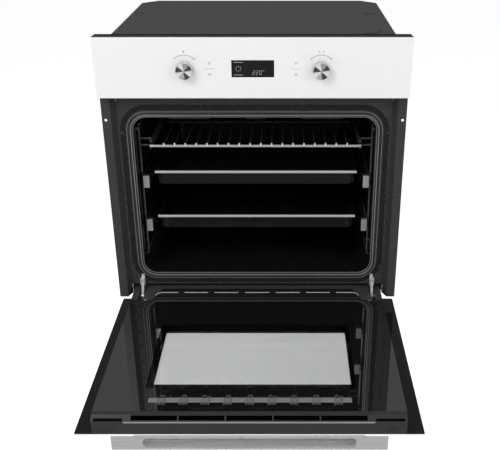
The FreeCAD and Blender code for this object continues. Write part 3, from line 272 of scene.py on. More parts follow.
# finishes: two tones that the grain mixes, and how rough and how deep the grain is
finishes = {
    "whiteFascia": {"tones": ((0.745, 0.745, 0.74), (0.76, 0.76, 0.755)), "rough": (0.05, 0.1), "grain": 60, "bump": 0.0, "coat": 0.5},
    "zincSheet": {"tones": ((0.058, 0.058, 0.059), (0.072, 0.072, 0.073)), "rough": (0.55, 0.66), "grain": 260, "shine": 0.25, "bump": 0.03, "smear": 2.5},
    "coverPressShade": {"tones": ((0.03, 0.03, 0.031), (0.05, 0.05, 0.05)), "rough": (0.55, 0.66), "grain": 260, "shine": 0.25, "bump": 0.0},
    "zincBare": {"tones": ((0.3, 0.3, 0.3), (0.42, 0.42, 0.415)), "rough": (0.32, 0.5), "grain": 90, "metal": 0.9, "bump": 0.04},
    "trimPaint": {"tones": ((0.034, 0.034, 0.035), (0.044, 0.044, 0.045)), "rough": (0.26, 0.36), "grain": 500, "bump": 0.02},
    "frontEnamel": {"tones": ((0.04, 0.04, 0.041), (0.052, 0.052, 0.053)), "rough": (0.1, 0.18), "grain": 120, "bump": 0.0, "coat": 0.5},
    "frameGroove": {"tones": ((0.012, 0.012, 0.012), (0.018, 0.018, 0.018)), "rough": (0.2, 0.3), "grain": 120, "bump": 0.0},
    "rimHighlightEnamel": {"tones": ((0.16, 0.16, 0.163), (0.22, 0.22, 0.223)), "rough": (0.14, 0.24), "grain": 240, "metal": 0.3, "bump": 0.02},
    "chromeWire": {"tones": ((0.66, 0.66, 0.66), (0.78, 0.78, 0.775)), "rough": (0.14, 0.26), "grain": 700, "metal": 0.55, "bump": 0.02},
    "ladderWire": {"tones": ((0.09, 0.09, 0.09), (0.2, 0.2, 0.195)), "rough": (0.16, 0.3), "grain": 160, "metal": 0.7, "bump": 0.02},
    "plainSteel": {"tones": ((0.4, 0.4, 0.4), (0.58, 0.58, 0.575)), "rough": (0.22, 0.4), "grain": 300, "metal": 0.75, "bump": 0.05, "stretch": (1, 0.08, 1)},
    "brightSteel": {"tones": ((0.6, 0.6, 0.6), (0.8, 0.8, 0.795)), "rough": (0.2, 0.32), "grain": 300, "metal": 0.5, "bump": 0.04},
    "darkSteel": {"tones": ((0.06, 0.06, 0.062), (0.1, 0.1, 0.1)), "rough": (0.25, 0.4), "grain": 300, "metal": 0.6, "bump": 0.05},
    "handleAlloy": {"tones": ((0.52, 0.52, 0.52), (0.64, 0.64, 0.64)), "rough": (0.24, 0.34), "grain": 420, "metal": 0.45, "bump": 0.03, "stretch": (0.02, 1, 1)},
    "greyPlastic": {"tones": ((0.026, 0.026, 0.027), (0.036, 0.036, 0.037)), "rough": (0.4, 0.55), "grain": 1200, "shine": 0.2, "bump": 0.05},
    "ventPlastic": {"tones": ((0.026, 0.026, 0.027), (0.036, 0.036, 0.037)), "rough": (0.34, 0.48), "grain": 1200, "shine": 0.35, "bump": 0.05},
    "ventEdgeHighlight": {"tones": ((0.2, 0.2, 0.2), (0.26, 0.26, 0.26)), "rough": (0.3, 0.42), "grain": 1200, "bump": 0.0},
    "sealRubber": {"tones": ((0.02, 0.02, 0.02), (0.03, 0.03, 0.03)), "rough": (0.26, 0.4), "grain": 900, "bump": 0.04},
    "sealLipHighlight": {"tones": ((0.16, 0.16, 0.16), (0.24, 0.24, 0.24)), "rough": (0.16, 0.26), "grain": 900, "bump": 0.02},
    "mineralWool": {"tones": ((0.5, 0.46, 0.34), (0.68, 0.64, 0.5)), "rough": (0.85, 0.95), "grain": 420, "bump": 0.5, "stretch": (1, 0.25, 1)},
    "elementSheath": {"tones": ((0.03, 0.029, 0.028), (0.05, 0.048, 0.046)), "rough": (0.4, 0.55), "grain": 500, "metal": 0.4, "bump": 0.08},
    "displayBlack": {"tones": ((0.01, 0.01, 0.011), (0.014, 0.014, 0.015)), "rough": (0.06, 0.1), "grain": 80, "bump": 0.0},
    "housingBlack": {"tones": ((0.01, 0.01, 0.01), (0.016, 0.016, 0.016)), "rough": (0.5, 0.62), "grain": 900, "shine": 0.05, "bump": 0.04},
    "hingeStrip": {"tones": ((0.05, 0.05, 0.051), (0.075, 0.075, 0.076)), "rough": (0.3, 0.42), "grain": 300, "metal": 0.3, "bump": 0.03},
    "greyInk": {"tones": ((0.2, 0.2, 0.2), (0.26, 0.26, 0.26)), "rough": (0.4, 0.5), "grain": 900, "bump": 0.0},
    "faintInk": {"tones": ((0.42, 0.42, 0.42), (0.5, 0.5, 0.5)), "rough": (0.4, 0.5), "grain": 900, "bump": 0.0},
    "paleInkAndReflection": {"tones": ((0.5, 0.5, 0.5), (0.58, 0.58, 0.58)), "rough": (0.4, 0.5), "grain": 900, "bump": 0.0},
    "stripInk": {"tones": ((0.17, 0.17, 0.17), (0.21, 0.21, 0.21)), "rough": (0.3, 0.42), "grain": 900, "bump": 0.0},
    "railWhite": {"tones": ((0.72, 0.72, 0.72), (0.8, 0.8, 0.8)), "rough": (0.3, 0.42), "grain": 500, "metal": 0.2, "bump": 0.0},
    "darkInk": {"tones": ((0.02, 0.02, 0.02), (0.03, 0.03, 0.03)), "rough": (0.3, 0.42), "grain": 900, "bump": 0.0},
    "holeShade": {"tones": ((0.004, 0.004, 0.004), (0.008, 0.008, 0.008)), "rough": (0.6, 0.8), "grain": 900, "bump": 0.0},
}


def addGroup(tree, group, values):
    node = tree.nodes.new("ShaderNodeGroup")
    node.node_tree = group
    for label, value in values.items():
        node.inputs[label].default_value = value
    return node


def mixColours(tree, share, first, second):
    mix = tree.nodes.new("ShaderNodeMix")
    mix.data_type = "RGBA"
    for socket, item in ((mix.inputs[0], share), (mix.inputs[6], first), (mix.inputs[7], second)):
        if isinstance(item, tuple):
            socket.default_value = (*item, 1)
        elif isinstance(item, (int, float)):
            socket.default_value = item
        else:
            tree.links.new(item, socket)
    return mix.outputs[2]


def makeFinish(name, look):
    material = bpy.data.materials.new(name)
    material.use_nodes = True
    tree = material.node_tree
    shader = tree.nodes["Principled BSDF"]
    shader.inputs["Metallic"].default_value = look.get("metal", 0.0)
    shader.inputs["Coat Weight"].default_value = look.get("coat", 0.0)
    shader.inputs["Coat Roughness"].default_value = 0.04
    shader.inputs["Specular IOR Level"].default_value = look.get("shine", 0.5)
    place = tree.nodes.new("ShaderNodeTexCoord").outputs["Object"]
    grain = addGroup(tree, grainGroup, {"Scale": look["grain"], "Stretch": look.get("stretch", (1, 1, 1)), "Contrast": 0.6})
    tree.links.new(place, grain.inputs["Vector"])
    tree.links.new(mixColours(tree, grain.outputs["Mask"], *look["tones"]), shader.inputs["Base Color"])
    smear = addGroup(tree, smearGroup, {"Scale": look.get("smear", 9.0), "Low": look["rough"][0], "High": look["rough"][1]})
    tree.links.new(place, smear.inputs["Vector"])
    tree.links.new(smear.outputs["Roughness"], shader.inputs["Roughness"])
    if look["bump"]:
        bump = tree.nodes.new("ShaderNodeBump")
        bump.inputs["Strength"].default_value = look["bump"]
        bump.inputs["Distance"].default_value = 0.0006
        tree.links.new(grain.outputs["Mask"], bump.inputs["Height"])
        tree.links.new(bump.outputs["Normal"], shader.inputs["Normal"])
    return material


paint = {name: makeFinish(name, look) for name, look in finishes.items()}


def colourOver(material, mask, colour):
    # lays a second colour over a finish where the mask is 1
    tree = material.node_tree
    socket = tree.nodes["Principled BSDF"].inputs["Base Color"]
    under = socket.links[0].from_socket
    tree.links.new(mixColours(tree, mask, under, colour), socket)


def objectAxis(material, axis):
    tree = material.node_tree
    split = tree.nodes.new("ShaderNodeSeparateXYZ")
    tree.links.new(tree.nodes.new("ShaderNodeTexCoord").outputs["Object"], split.inputs[0])
    return split.outputs[axis]


def makeEnamel(name, look, flecks):
    # fired enamel with tiny pale flecks
    material = makeFinish(name, look)
    tree = material.node_tree
    fleck = addGroup(tree, fleckGroup, flecks)
    tree.links.new(tree.nodes.new("ShaderNodeTexCoord").outputs["Object"], fleck.inputs["Vector"])
    colourOver(material, fleck.outputs["Mask"], (0.03, 0.03, 0.032))
    return material


enamel = {"tones": ((0.005, 0.005, 0.006), (0.009, 0.009, 0.01)), "rough": (0.12, 0.24), "grain": 200, "bump": 0.02, "coat": 0.3}
paint["cavityEnamel"] = makeEnamel("cavityEnamel", enamel, {"Scale": 260.0, "Size": 0.1})
paint["trayEnamel"] = makeEnamel("trayEnamel", enamel, {"Scale": 300.0, "Size": 0.09})


def makeTrayRimHighlight():
    # the rolled front edge is painted pale as a highlight
    material = paint["trayEnamel"]
    tree = material.node_tree
    front = mathNode(tree, "LESS_THAN", objectAxis(material, "Y"), 0.0362)
    colourOver(material, front, (0.42, 0.42, 0.42))


def makeRailEnds():
    # bright steel rails with pale end blocks
    material = makeFinish("railSteel", {**finishes["ladderWire"], "stretch": (1, 0.05, 1)})
    tree = material.node_tree
    front = mathNode(tree, "LESS_THAN", objectAxis(material, "Y"), 0.0502)
    colourOver(material, front, (0.86, 0.86, 0.86))
    return material


def makeKnobMetal(name, centre):
    # turned face with a painted bow-tie sheen in its colour and fine rings
    material = makeFinish(name, {"tones": ((0.6, 0.6, 0.6), (0.68, 0.68, 0.68)), "rough": (0.24, 0.32), "grain": 500, "metal": 0.35, "bump": 0.0})
    tree = material.node_tree
    spun = addGroup(tree, spunGroup, {"Centre": centre, "Rings": 5200.0})
    tree.links.new(tree.nodes.new("ShaderNodeTexCoord").outputs["Object"], spun.inputs["Vector"])
    shade = mixColours(tree, spun.outputs["PaintedSheen"], (0.07, 0.07, 0.07), (0.85, 0.85, 0.85))
    face = mathNode(tree, "LESS_THAN", objectAxis(material, "Y"), -0.0386)
    socket = tree.nodes["Principled BSDF"].inputs["Base Color"]
    tree.links.new(mixColours(tree, face, socket.links[0].from_socket, shade), socket)
    bump = tree.nodes.new("ShaderNodeBump")
    bump.inputs["Strength"].default_value = 0.15
    bump.inputs["Distance"].default_value = 0.0001
    tree.links.new(spun.outputs["Rings"], bump.inputs["Height"])
    tree.links.new(bump.outputs["Normal"], tree.nodes["Principled BSDF"].inputs["Normal"])
    return material


def makeFasciaEdge():
    # dark edging along the top of the pale glass
    material = paint["whiteFascia"]
    top = mathNode(material.node_tree, "GREATER_THAN", objectAxis(material, "Z"), 0.593)
    colourOver(material, top, (0.035, 0.035, 0.035))


def makeRackShade():
    # painted shade: the wires behind the front rod are painted dark, the rod keeps the bright wire colour
    material = paint["chromeWire"]
    behind = mathNode(material.node_tree, "GREATER_THAN", objectAxis(material, "Y"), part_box("wire_rack")[0].y + 0.006)
    colourOver(material, behind, (0.07, 0.07, 0.07))


makeTrayRimHighlight()
makeFasciaEdge()
makeRackShade()
paint["railSteel"] = makeRailEnds()

glassLook = {
    "window": {"Half Width": 0.187, "Near": -0.355, "Far": -0.14, "Softness": 0.0006},
    "outerWindow": {"Half Width": 0.183, "Near": -0.3, "Far": -0.115, "Softness": 0.0006},
    "printTone": (0.0075, 0.0075, 0.008), "clearAlpha": 0.17, "innerIor": 3.2, "outerIor": 1.45,
}


def makePrintedGlass(name, window, density, backTone=None, backBelow=0.0):
    # black print with a clear window; the far side of the outer pane is pale
    material = makeFinish(name, {"tones": (glassLook["printTone"], (0.009, 0.009, 0.0095)), "rough": (0.015, 0.035), "grain": 40, "bump": 0.0})
    tree = material.node_tree
    shader = tree.nodes["Principled BSDF"]
    shader.inputs["IOR"].default_value = density
    mask = addGroup(tree, windowGroup, window)
    tree.links.new(tree.nodes.new("ShaderNodeTexCoord").outputs["Object"], mask.inputs["Vector"])
    if backTone:
        outside = mathNode(tree, "LESS_THAN", objectAxis(material, "Z"), backBelow)
        colourOver(material, outside, backTone)
    alpha = mathNode(tree, "SUBTRACT", 1.0, mathNode(tree, "MULTIPLY", mask.outputs["Mask"], 1 - glassLook["clearAlpha"]))
    tree.links.new(alpha, shader.inputs["Alpha"])
    return material


def makeClearGlass(name, tone, rough, transmission):
    material = makeFinish(name, {"tones": (tone, tone), "rough": rough, "grain": 60, "bump": 0.0})
    shader = material.node_tree.nodes["Principled BSDF"]
    shader.inputs["Transmission Weight"].default_value = transmission
    shader.inputs["IOR"].default_value = 1.48
    return material


paint["innerPane"] = makePrintedGlass("innerPane", glassLook["window"], glassLook["innerIor"])
paint["outerPane"] = makePrintedGlass("outerPane", glassLook["outerWindow"], glassLook["outerIor"], (0.84, 0.84, 0.835), 0.0139)
paint["middlePane"] = makeClearGlass("middlePane", (0.93, 0.95, 0.94), (0.0, 0.02), 1.0)
paint["lampGlass"] = makeClearGlass("lampGlass", (0.9, 0.9, 0.86), (0.12, 0.2), 0.85)
knobCentre = {"modeKnob": (-0.128, -0.04, 0.533), "temperatureKnob": (0.128, -0.04, 0.533)}
for knobName, knobPlace in knobCentre.items():
    paint[knobName] = makeKnobMetal(knobName, knobPlace)

nodeFinish = {
    "front_frame": "frontEnamel", "blower_shelf": "trimPaint", "side_panel_left": "zincBare", "side_panel_right": "zincBare",
    "base_panel": "zincBare", "rear_panel": "zincBare", "top_cover": "zincSheet", "rear_cover": "zincSheet",
    "side_trim_left": "trimPaint", "side_trim_right": "trimPaint", "cavity_wrap": "cavityEnamel", "cavity_back": "cavityEnamel",
    "insulation": "mineralWool", "fan_baffle": "cavityEnamel", "lamp_lens": "lampGlass", "fan_motor": "plainSteel",
    "ring_element": "elementSheath", "grill_element": "elementSheath", "bottom_element": "elementSheath",
    "blower_housing": "greyPlastic", "blower_motor": "plainSteel", "blower_wheel": "greyPlastic", "convection_fan": "plainSteel",
    "terminal_block": "greyPlastic", "panel_glass": "whiteFascia", "panel_housing": "housingBlack", "display_module": "displayBlack",
    "mode_switch": "greyPlastic", "temperature_switch": "greyPlastic", "mode_knob": "modeKnob", "temperature_knob": "temperatureKnob",
    "rack_ladder_left": "ladderWire", "rack_ladder_right": "ladderWire", "upper_fixed_rails": "railSteel", "lower_fixed_rails": "railSteel",
    "upper_sliding_rail_left": "railSteel", "upper_sliding_rail_right": "railSteel", "lower_sliding_rail_left": "railSteel",
    "lower_sliding_rail_right": "railSteel", "upper_tray": "trayEnamel", "lower_tray": "trayEnamel", "wire_rack": "chromeWire",
    "door_outer_glass": "outerPane", "door_middle_glass": "middlePane", "door_inner_glass": "innerPane",
    "door_side_left": "darkSteel", "door_side_right": "darkSteel", "door_top_trim": "ventPlastic", "trim_clip_left": "greyPlastic",
    "trim_clip_right": "greyPlastic", "door_bottom_trim": "hingeStrip", "handle": "handleAlloy", "handle_screws": "plainSteel",
    "hinge_channel_left": "plainSteel", "hinge_channel_right": "plainSteel", "hinge_arm_left": "brightSteel", "hinge_arm_right": "brightSteel",
    "hinge_lock_left": "brightSteel", "hinge_lock_right": "brightSteel",
}
for nodeName, finishName in nodeFinish.items():
    mesh = nodes[nodeName].data
    mesh.materials.clear()
    mesh.materials.append(paint[finishName])
print("finishes made:", len(paint))

# mesh helpers


def showPiece(name, mesh, body, finish=None, smooth=False):
    piece = bpy.data.objects.new(name, mesh)
    bpy.context.scene.collection.objects.link(piece)
    if finish:
        mesh.materials.clear()
        mesh.materials.append(paint[finish])
    for face in mesh.polygons:
        face.use_smooth = smooth
    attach(piece, body)
    return piece


def addSlab(form, low, high, round=0.0):
    # a block between two corners, its edges eased
    start = len(form.verts)
    made = bmesh.ops.create_cube(form, size=1.0)["verts"]
    for vert in made:
        vert.co = Vector([low[n] + (vert.co[n] + 0.5) * (high[n] - low[n]) for n in range(3)])
    if round:
        edges = list({edge for vert in made for edge in vert.link_edges})
        bmesh.ops.bevel(form, geom=edges, offset=round, segments=2, affect="EDGES", profile=0.6)
    return start


def slabMesh(name, slabs, round=0.0):
    form = bmesh.new()
    for low, high in slabs:
        addSlab(form, low, high, round)
    bmesh.ops.recalc_face_normals(form, faces=form.faces)
    mesh = bpy.data.meshes.new(name)
    form.to_mesh(mesh)
    form.free()
    return mesh


def carrierFrom(name, points, edges=()):
    mesh = bpy.data.meshes.new(name)
    mesh.from_pydata([tuple(point) for point in points], list(edges), [])
    carrier = bpy.data.objects.new(name, mesh)
    bpy.context.scene.collection.objects.link(carrier)
    return carrier


def linesCarrier(name, lines):
    # each line is (points, closed)
    points, edges = [], []
    for line, closed in lines:
        first = len(points)
        points += line
        edges += [(first + n, first + n + 1) for n in range(len(line) - 1)]
        if closed:
            edges.append((len(points) - 1, first))
    return carrierFrom(name, points, edges)


def roundedPath(half, low, high, radius, y, steps=10):
    # a rounded rectangle standing in the XZ plane
    corners = [(half - radius, high - radius, 0), (-half + radius, high - radius, 90), (-half + radius, low + radius, 180), (half - radius, low + radius, 270)]
    points = []
    for x, z, start in corners:
        for n in range(steps + 1):
            turn = math.radians(start + 90 * n / steps)
            points.append((x + radius * math.cos(turn), y, z + radius * math.sin(turn)))
    return points


# geometry trees


def newTree(name, inputs):
    tree = bpy.data.node_groups.new(name, "GeometryNodeTree")
    tree.interface.new_socket("Geometry", in_out="INPUT", socket_type="NodeSocketGeometry")
    for label, kind, start in inputs:
        socket = tree.interface.new_socket(label, in_out="INPUT", socket_type=kind)
        if start is not None:
            socket.default_value = start
    tree.interface.new_socket("Geometry", in_out="OUTPUT", socket_type="NodeSocketGeometry")
    return tree, tree.nodes.new("NodeGroupInput"), tree.nodes.new("NodeGroupOutput")


def closeTree(tree, start, end, geometry):
    # every tree ends with real geometry and its finish
    real = tree.nodes.new("GeometryNodeRealizeInstances")
    finish = tree.nodes.new("GeometryNodeSetMaterial")
    tree.links.new(geometry, real.inputs["Geometry"])
    tree.links.new(real.outputs["Geometry"], finish.inputs["Geometry"])
    tree.links.new(start.outputs["Finish"], finish.inputs["Material"])
    tree.links.new(finish.outputs["Geometry"], end.inputs["Geometry"])
    return tree


def makeSweepTree():
    # a round bar along every line of the carrier
    tree, start, end = newTree("sweptBar", [("Radius", "NodeSocketFloat", 0.001), ("Sides", "NodeSocketInt", 12), ("Finish", "NodeSocketMaterial", None)])
    line = tree.nodes.new("GeometryNodeMeshToCurve")
    ring = tree.nodes.new("GeometryNodeCurvePrimitiveCircle")
    sweep = tree.nodes.new("GeometryNodeCurveToMesh")
    sweep.inputs["Fill Caps"].default_value = True
    tree.links.new(start.outputs["Geometry"], line.inputs["Mesh"])
    tree.links.new(start.outputs["Radius"], ring.inputs["Radius"])
    tree.links.new(start.outputs["Sides"], ring.inputs["Resolution"])
    tree.links.new(line.outputs["Curve"], sweep.inputs["Curve"])
    tree.links.new(ring.outputs["Curve"], sweep.inputs["Profile Curve"])
    return closeTree(tree, start, end, sweep.outputs["Mesh"])


def makeScatterTree():
    # one part stood on every point of the carrier, all turned the same way
    tree, start, end = newTree("placedParts", [("Part", "NodeSocketObject", None), ("Turn", "NodeSocketRotation", None),
                                               ("Size", "NodeSocketFloat", 1.0), ("Finish", "NodeSocketMaterial", None)])
    part = tree.nodes.new("GeometryNodeObjectInfo")
    part.inputs["As Instance"].default_value = True
    stand = tree.nodes.new("GeometryNodeInstanceOnPoints")
    tree.links.new(start.outputs["Part"], part.inputs["Object"])
    tree.links.new(start.outputs["Geometry"], stand.inputs["Points"])
    tree.links.new(part.outputs["Geometry"], stand.inputs["Instance"])
    tree.links.new(start.outputs["Turn"], stand.inputs["Rotation"])
    tree.links.new(start.outputs["Size"], stand.inputs["Scale"])
    return closeTree(tree, start, end, stand.outputs["Instances"])


def makeRowTree():
    # a row of slabs from the carrier's single point
    tree, start, end = newTree("slabRow", [("Count", "NodeSocketInt", 6), ("Step", "NodeSocketVector", (0, 0, 0.01)),
                                           ("Slab", "NodeSocketVector", (0.01, 0.01, 0.01)), ("Finish", "NodeSocketMaterial", None)])
    line = tree.nodes.new("GeometryNodeMeshLine")
    line.mode = "OFFSET"
    block = tree.nodes.new("GeometryNodeMeshCube")
    spread = tree.nodes.new("GeometryNodeInstanceOnPoints")
    row = tree.nodes.new("GeometryNodeInstanceOnPoints")
    tree.links.new(start.outputs["Count"], line.inputs["Count"])
    tree.links.new(start.outputs["Step"], line.inputs["Offset"])
    tree.links.new(start.outputs["Slab"], block.inputs["Size"])
    tree.links.new(line.outputs["Mesh"], spread.inputs["Points"])
    tree.links.new(block.outputs["Mesh"], spread.inputs["Instance"])
    tree.links.new(start.outputs["Geometry"], row.inputs["Points"])
    tree.links.new(spread.outputs["Instances"], row.inputs["Instance"])
    return closeTree(tree, start, end, row.outputs["Instances"])


sweepTree = makeSweepTree()
scatterTree = makeScatterTree()
rowTree = makeRowTree()


def grow(name, carrier, tree, values, body, slot, smooth=True):
    modifier = carrier.modifiers.new(tree.name, "NODES")
    modifier.node_group = tree
    for item in tree.interface.items_tree:
        if item.item_type == "SOCKET" and item.in_out == "INPUT" and item.name in values:
            modifier[item.identifier] = values[item.name]
    graph = bpy.context.evaluated_depsgraph_get()
    mesh = bpy.data.meshes.new_from_object(carrier.evaluated_get(graph))
    mesh.name = name
    bpy.data.objects.remove(carrier)
    return showPiece(name, mesh, body, smooth=smooth)


def sweptPiece(name, lines, radius, finish, body, slot, sides=12):
    return grow(name, linesCarrier(name + "Path", lines), sweepTree, {"Radius": radius, "Sides": sides, "Finish": paint[finish]}, body, slot)


def makeScrewHead():
    # a low dome with a crossed recess, standing along +Z
    form = bmesh.new()
    rings = [(0.0, 0.0), (0.0034, 0.0), (0.0034, 0.0007), (0.0028, 0.0014), (0.0018, 0.0017)]
    sides = 16
    loops = []
    for radius, height in rings[1:]:
        loops.append([form.verts.new((radius * math.cos(2 * math.pi * n / sides), radius * math.sin(2 * math.pi * n / sides), height)) for n in range(sides)])
    for lower, upper in zip(loops, loops[1:]):
        for n in range(sides):
            form.faces.new((lower[n], lower[(n + 1) % sides], upper[(n + 1) % sides], upper[n]))
    base = form.verts.new((0, 0, 0))
    tip = form.verts.new((0, 0, 0.0009))
    for n in range(sides):
        form.faces.new((loops[0][(n + 1) % sides], loops[0][n], base))
        form.faces.new((loops[-1][n], loops[-1][(n + 1) % sides], tip))
    bmesh.ops.recalc_face_normals(form, faces=form.faces)
    mesh = bpy.data.meshes.new("screwHead")
    form.to_mesh(mesh)
    form.free()
    screw = bpy.data.objects.new("screwHead", mesh)
    bpy.context.scene.collection.objects.link(screw)
    return screw


screwHead = makeScrewHead()
facing = {"front": (90, 0, 0), "rear": (-90, 0, 0), "right": (0, 90, 0), "left": (0, -90, 0), "up": (0, 0, 0), "down": (180, 0, 0)}


def screwPiece(name, points, way, size, finish, body, slot):
    turn = Euler([math.radians(angle) for angle in facing[way]])
    values = {"Part": screwHead, "Turn": turn, "Size": size, "Finish": paint[finish]}
    return grow(name, carrierFrom(name + "Points", points), scatterTree, values, body, slot, smooth=False)


print("geometry trees made")

# cavity mouth: ribbed gasket with two lips painted pale as highlights, the liner rim painted pale as a highlight,
# pressed grooves round it with painted shade in them
mouth = {"half": 243 * mm, "low": 84 * mm, "high": 430 * mm, "radius": 28 * mm, "gasketY": 16.15 * mm, "gasketRib": 1.8 * mm, "ribs": (4.6, 7.8, 10.6),
         "lips": ((4.3, 1.15), (11.0, 0.95)), "lipY": 15.25 * mm, "rimY": 17.8 * mm, "rimRadius": 1.1 * mm, "groove": (14.6, 24.5), "bead": 25.2}


def mouthPath(grow, y):
    return roundedPath(mouth["half"] + grow, mouth["low"] - grow, mouth["high"] + grow, mouth["radius"] + grow, y)


def bandMesh(name, loops):
    # a flat ring between two outlines, given front inner, front outer, back inner, back outer
    form = bmesh.new()
    rings = [[form.verts.new(point) for point in loop] for loop in (loops[0], loops[1], loops[3], loops[2])]
    for ring, following in zip(rings, rings[1:] + rings[:1]):
        for n in range(len(ring)):
            form.faces.new((ring[n], ring[(n + 1) % len(ring)], following[(n + 1) % len(ring)], following[n]))
    bmesh.ops.recalc_face_normals(form, faces=form.faces)
    mesh = bpy.data.meshes.new(name)
    form.to_mesh(mesh)
    form.free()
    return mesh


def makeMouth():
    ribs = [(mouthPath(grow * mm, mouth["gasketY"]), True) for grow in mouth["ribs"]]
    gasket = sweptPiece("doorGasket", ribs, mouth["gasketRib"], "sealRubber", "chassis", "seal_rubber")
    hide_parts("door_seal")
    # the two lips are painted pale as highlight lines on the dark gasket
    for word, (grow, radius) in zip(("inner", "outer"), mouth["lips"]):
        sweptPiece(word + "GasketLip", [(mouthPath(grow * mm, mouth["lipY"]), True)], radius * mm, "sealLipHighlight", "chassis", "seal_rubber", 8)
    # the liner rim is painted pale as a highlight line round the dark cavity
    sweptPiece("linerRim", [(mouthPath(0.4 * mm, mouth["rimY"]), True)], mouth["rimRadius"], "rimHighlightEnamel", "chassis", "cavity_enamel")
    # a flat dark band painted as shade in the pressed groove round the mouth
    groove = bandMesh("frameGroove", [mouthPath(grow * mm, y) for y in (17.85 * mm, 18.05 * mm) for grow in mouth["groove"]])
    showPiece("frameGroove", groove, "chassis", "frameGroove")
    sweptPiece("framePressing", [(mouthPath(mouth["bead"] * mm, 18.0 * mm), True)], 0.7 * mm, "frontEnamel", "chassis", "front_enamel")


makeMouth()
print("cavity mouth done")

# front frame: row of small holes down the left border, drawn as dark discs of painted shade, screws down both
frameMarks = {"holeX": -266 * mm, "holeZ": (289, 271, 246, 203, 165, 122), "screwX": 264 * mm, "screwZ": (100, 398)}


def makeFrameMarks():
    holes = [(frameMarks["holeX"], 17.9 * mm, z * mm) for z in frameMarks["holeZ"]]
    screwPiece("frameHoles", holes, "front", 0.8, "holeShade", "chassis", "front_enamel")
    screws = [(side * frameMarks["screwX"], 17.9 * mm, z * mm) for side in (-1, 1) for z in frameMarks["screwZ"]]
    screwPiece("frameScrews", screws, "front", 0.9, "darkSteel", "chassis", "front_enamel")


makeFrameMarks()

# panel print, touch marks and display
fascia = {"y": -24.02 * mm, "knobX": 128 * mm, "knobZ": 531.5 * mm, "arcRadius": 28.8 * mm, "arcFrom": 47, "arcTo": 133, "line": 0.42 * mm,
          "touchX": 81 * mm, "touchZ": 535 * mm, "touchGap": 10.5 * mm, "touchLine": 9.5 * mm, "markSize": 2.2 * mm,
          "display": ((-40 * mm, 519 * mm), (40 * mm, 551 * mm))}


def ringLine(x, y, z, radius, first=0, last=360, steps=20):
    turns = [math.radians(first + (last - first) * n / steps) for n in range(steps + (last - first < 360))]
    return [(x + radius * math.cos(a), y, z + radius * math.sin(a)) for a in turns], last - first >= 360


def makeFasciaPrint():
    y = fascia["y"]
    lines = []
    for side in (-1, 1):
        x, z = side * fascia["knobX"], fascia["knobZ"]
        arc, _ = ringLine(x, y, z, fascia["arcRadius"], fascia["arcFrom"], fascia["arcTo"])
        lines.append((arc, False))
        for turn, way in ((fascia["arcFrom"], 1), (fascia["arcTo"], -1)):
            if side < 0 and way < 0:
                continue
            a = math.radians(turn)
            tip = (x + fascia["arcRadius"] * math.cos(a), y, z + fascia["arcRadius"] * math.sin(a))
            lines.append(([(tip[0] + way * 0.4 * mm, y, tip[2] + 2.4 * mm), tip, (tip[0] - way * 2.4 * mm, y, tip[2] + 0.2 * mm)], False))
        top = z + fascia["arcRadius"] + 6 * mm
        if side < 0:
            lines.append(([(x, y, top + 3 * mm), (x, y, top - 2 * mm)], False))
            lines.append(([(x - 1.8 * mm, y, top + 1 * mm), (x + 1.8 * mm, y, top + 1 * mm)], False))
        else:
            for way in (-1, 1):
                lines.append(([(x + way * 3 * mm, y, top + 2 * mm), (x + way * 5.4 * mm, y, top), (x + way * 3 * mm, y, top - 2 * mm)], False))
    sweptPiece("knobMarks", lines, fascia["line"], "greyInk", "chassis", "front_glass", 6)
    lines = []
    for side in (-1, 1):
        x, z = side * fascia["touchX"], fascia["touchZ"]
        lines.append(([(x - fascia["touchLine"], y, z), (x + fascia["touchLine"], y, z)], False))
        for way in (-1, 1):
            middle = z + way * fascia["touchGap"]
            lines.append(ringLine(x, y, middle, fascia["markSize"], 0, 360, 12))
            if (side > 0) == (way > 0):
                lines.append(([(x - 1.4 * mm, y, middle), (x + 1.4 * mm, y, middle)], False))
            else:
                lines.append(([(x, y, middle - 1.3 * mm), (x, y, middle + 2.6 * mm)], False))
    sweptPiece("touchMarks", lines, 0.4 * mm, "faintInk", "chassis", "front_glass", 6)


def digitLines(x, y, z, width, height, segments):
    ends = {"a": ((0, 1), (1, 1)), "b": ((1, 1), (1, 0.5)), "c": ((1, 0.5), (1, 0)), "d": ((0, 0), (1, 0)),
            "e": ((0, 0), (0, 0.5)), "f": ((0, 0.5), (0, 1)), "g": ((0, 0.5), (1, 0.5))}
    lines = []
    for name in segments:
        (x1, z1), (x2, z2) = ends[name]
        inset = 0.1
        p = Vector((x + (x1 + z1 * 0.12) * width, y, z + z1 * height))
        q = Vector((x + (x2 + z2 * 0.12) * width, y, z + z2 * height))
        lines.append(([tuple(p.lerp(q, inset)), tuple(q.lerp(p, inset))], False))
    return lines


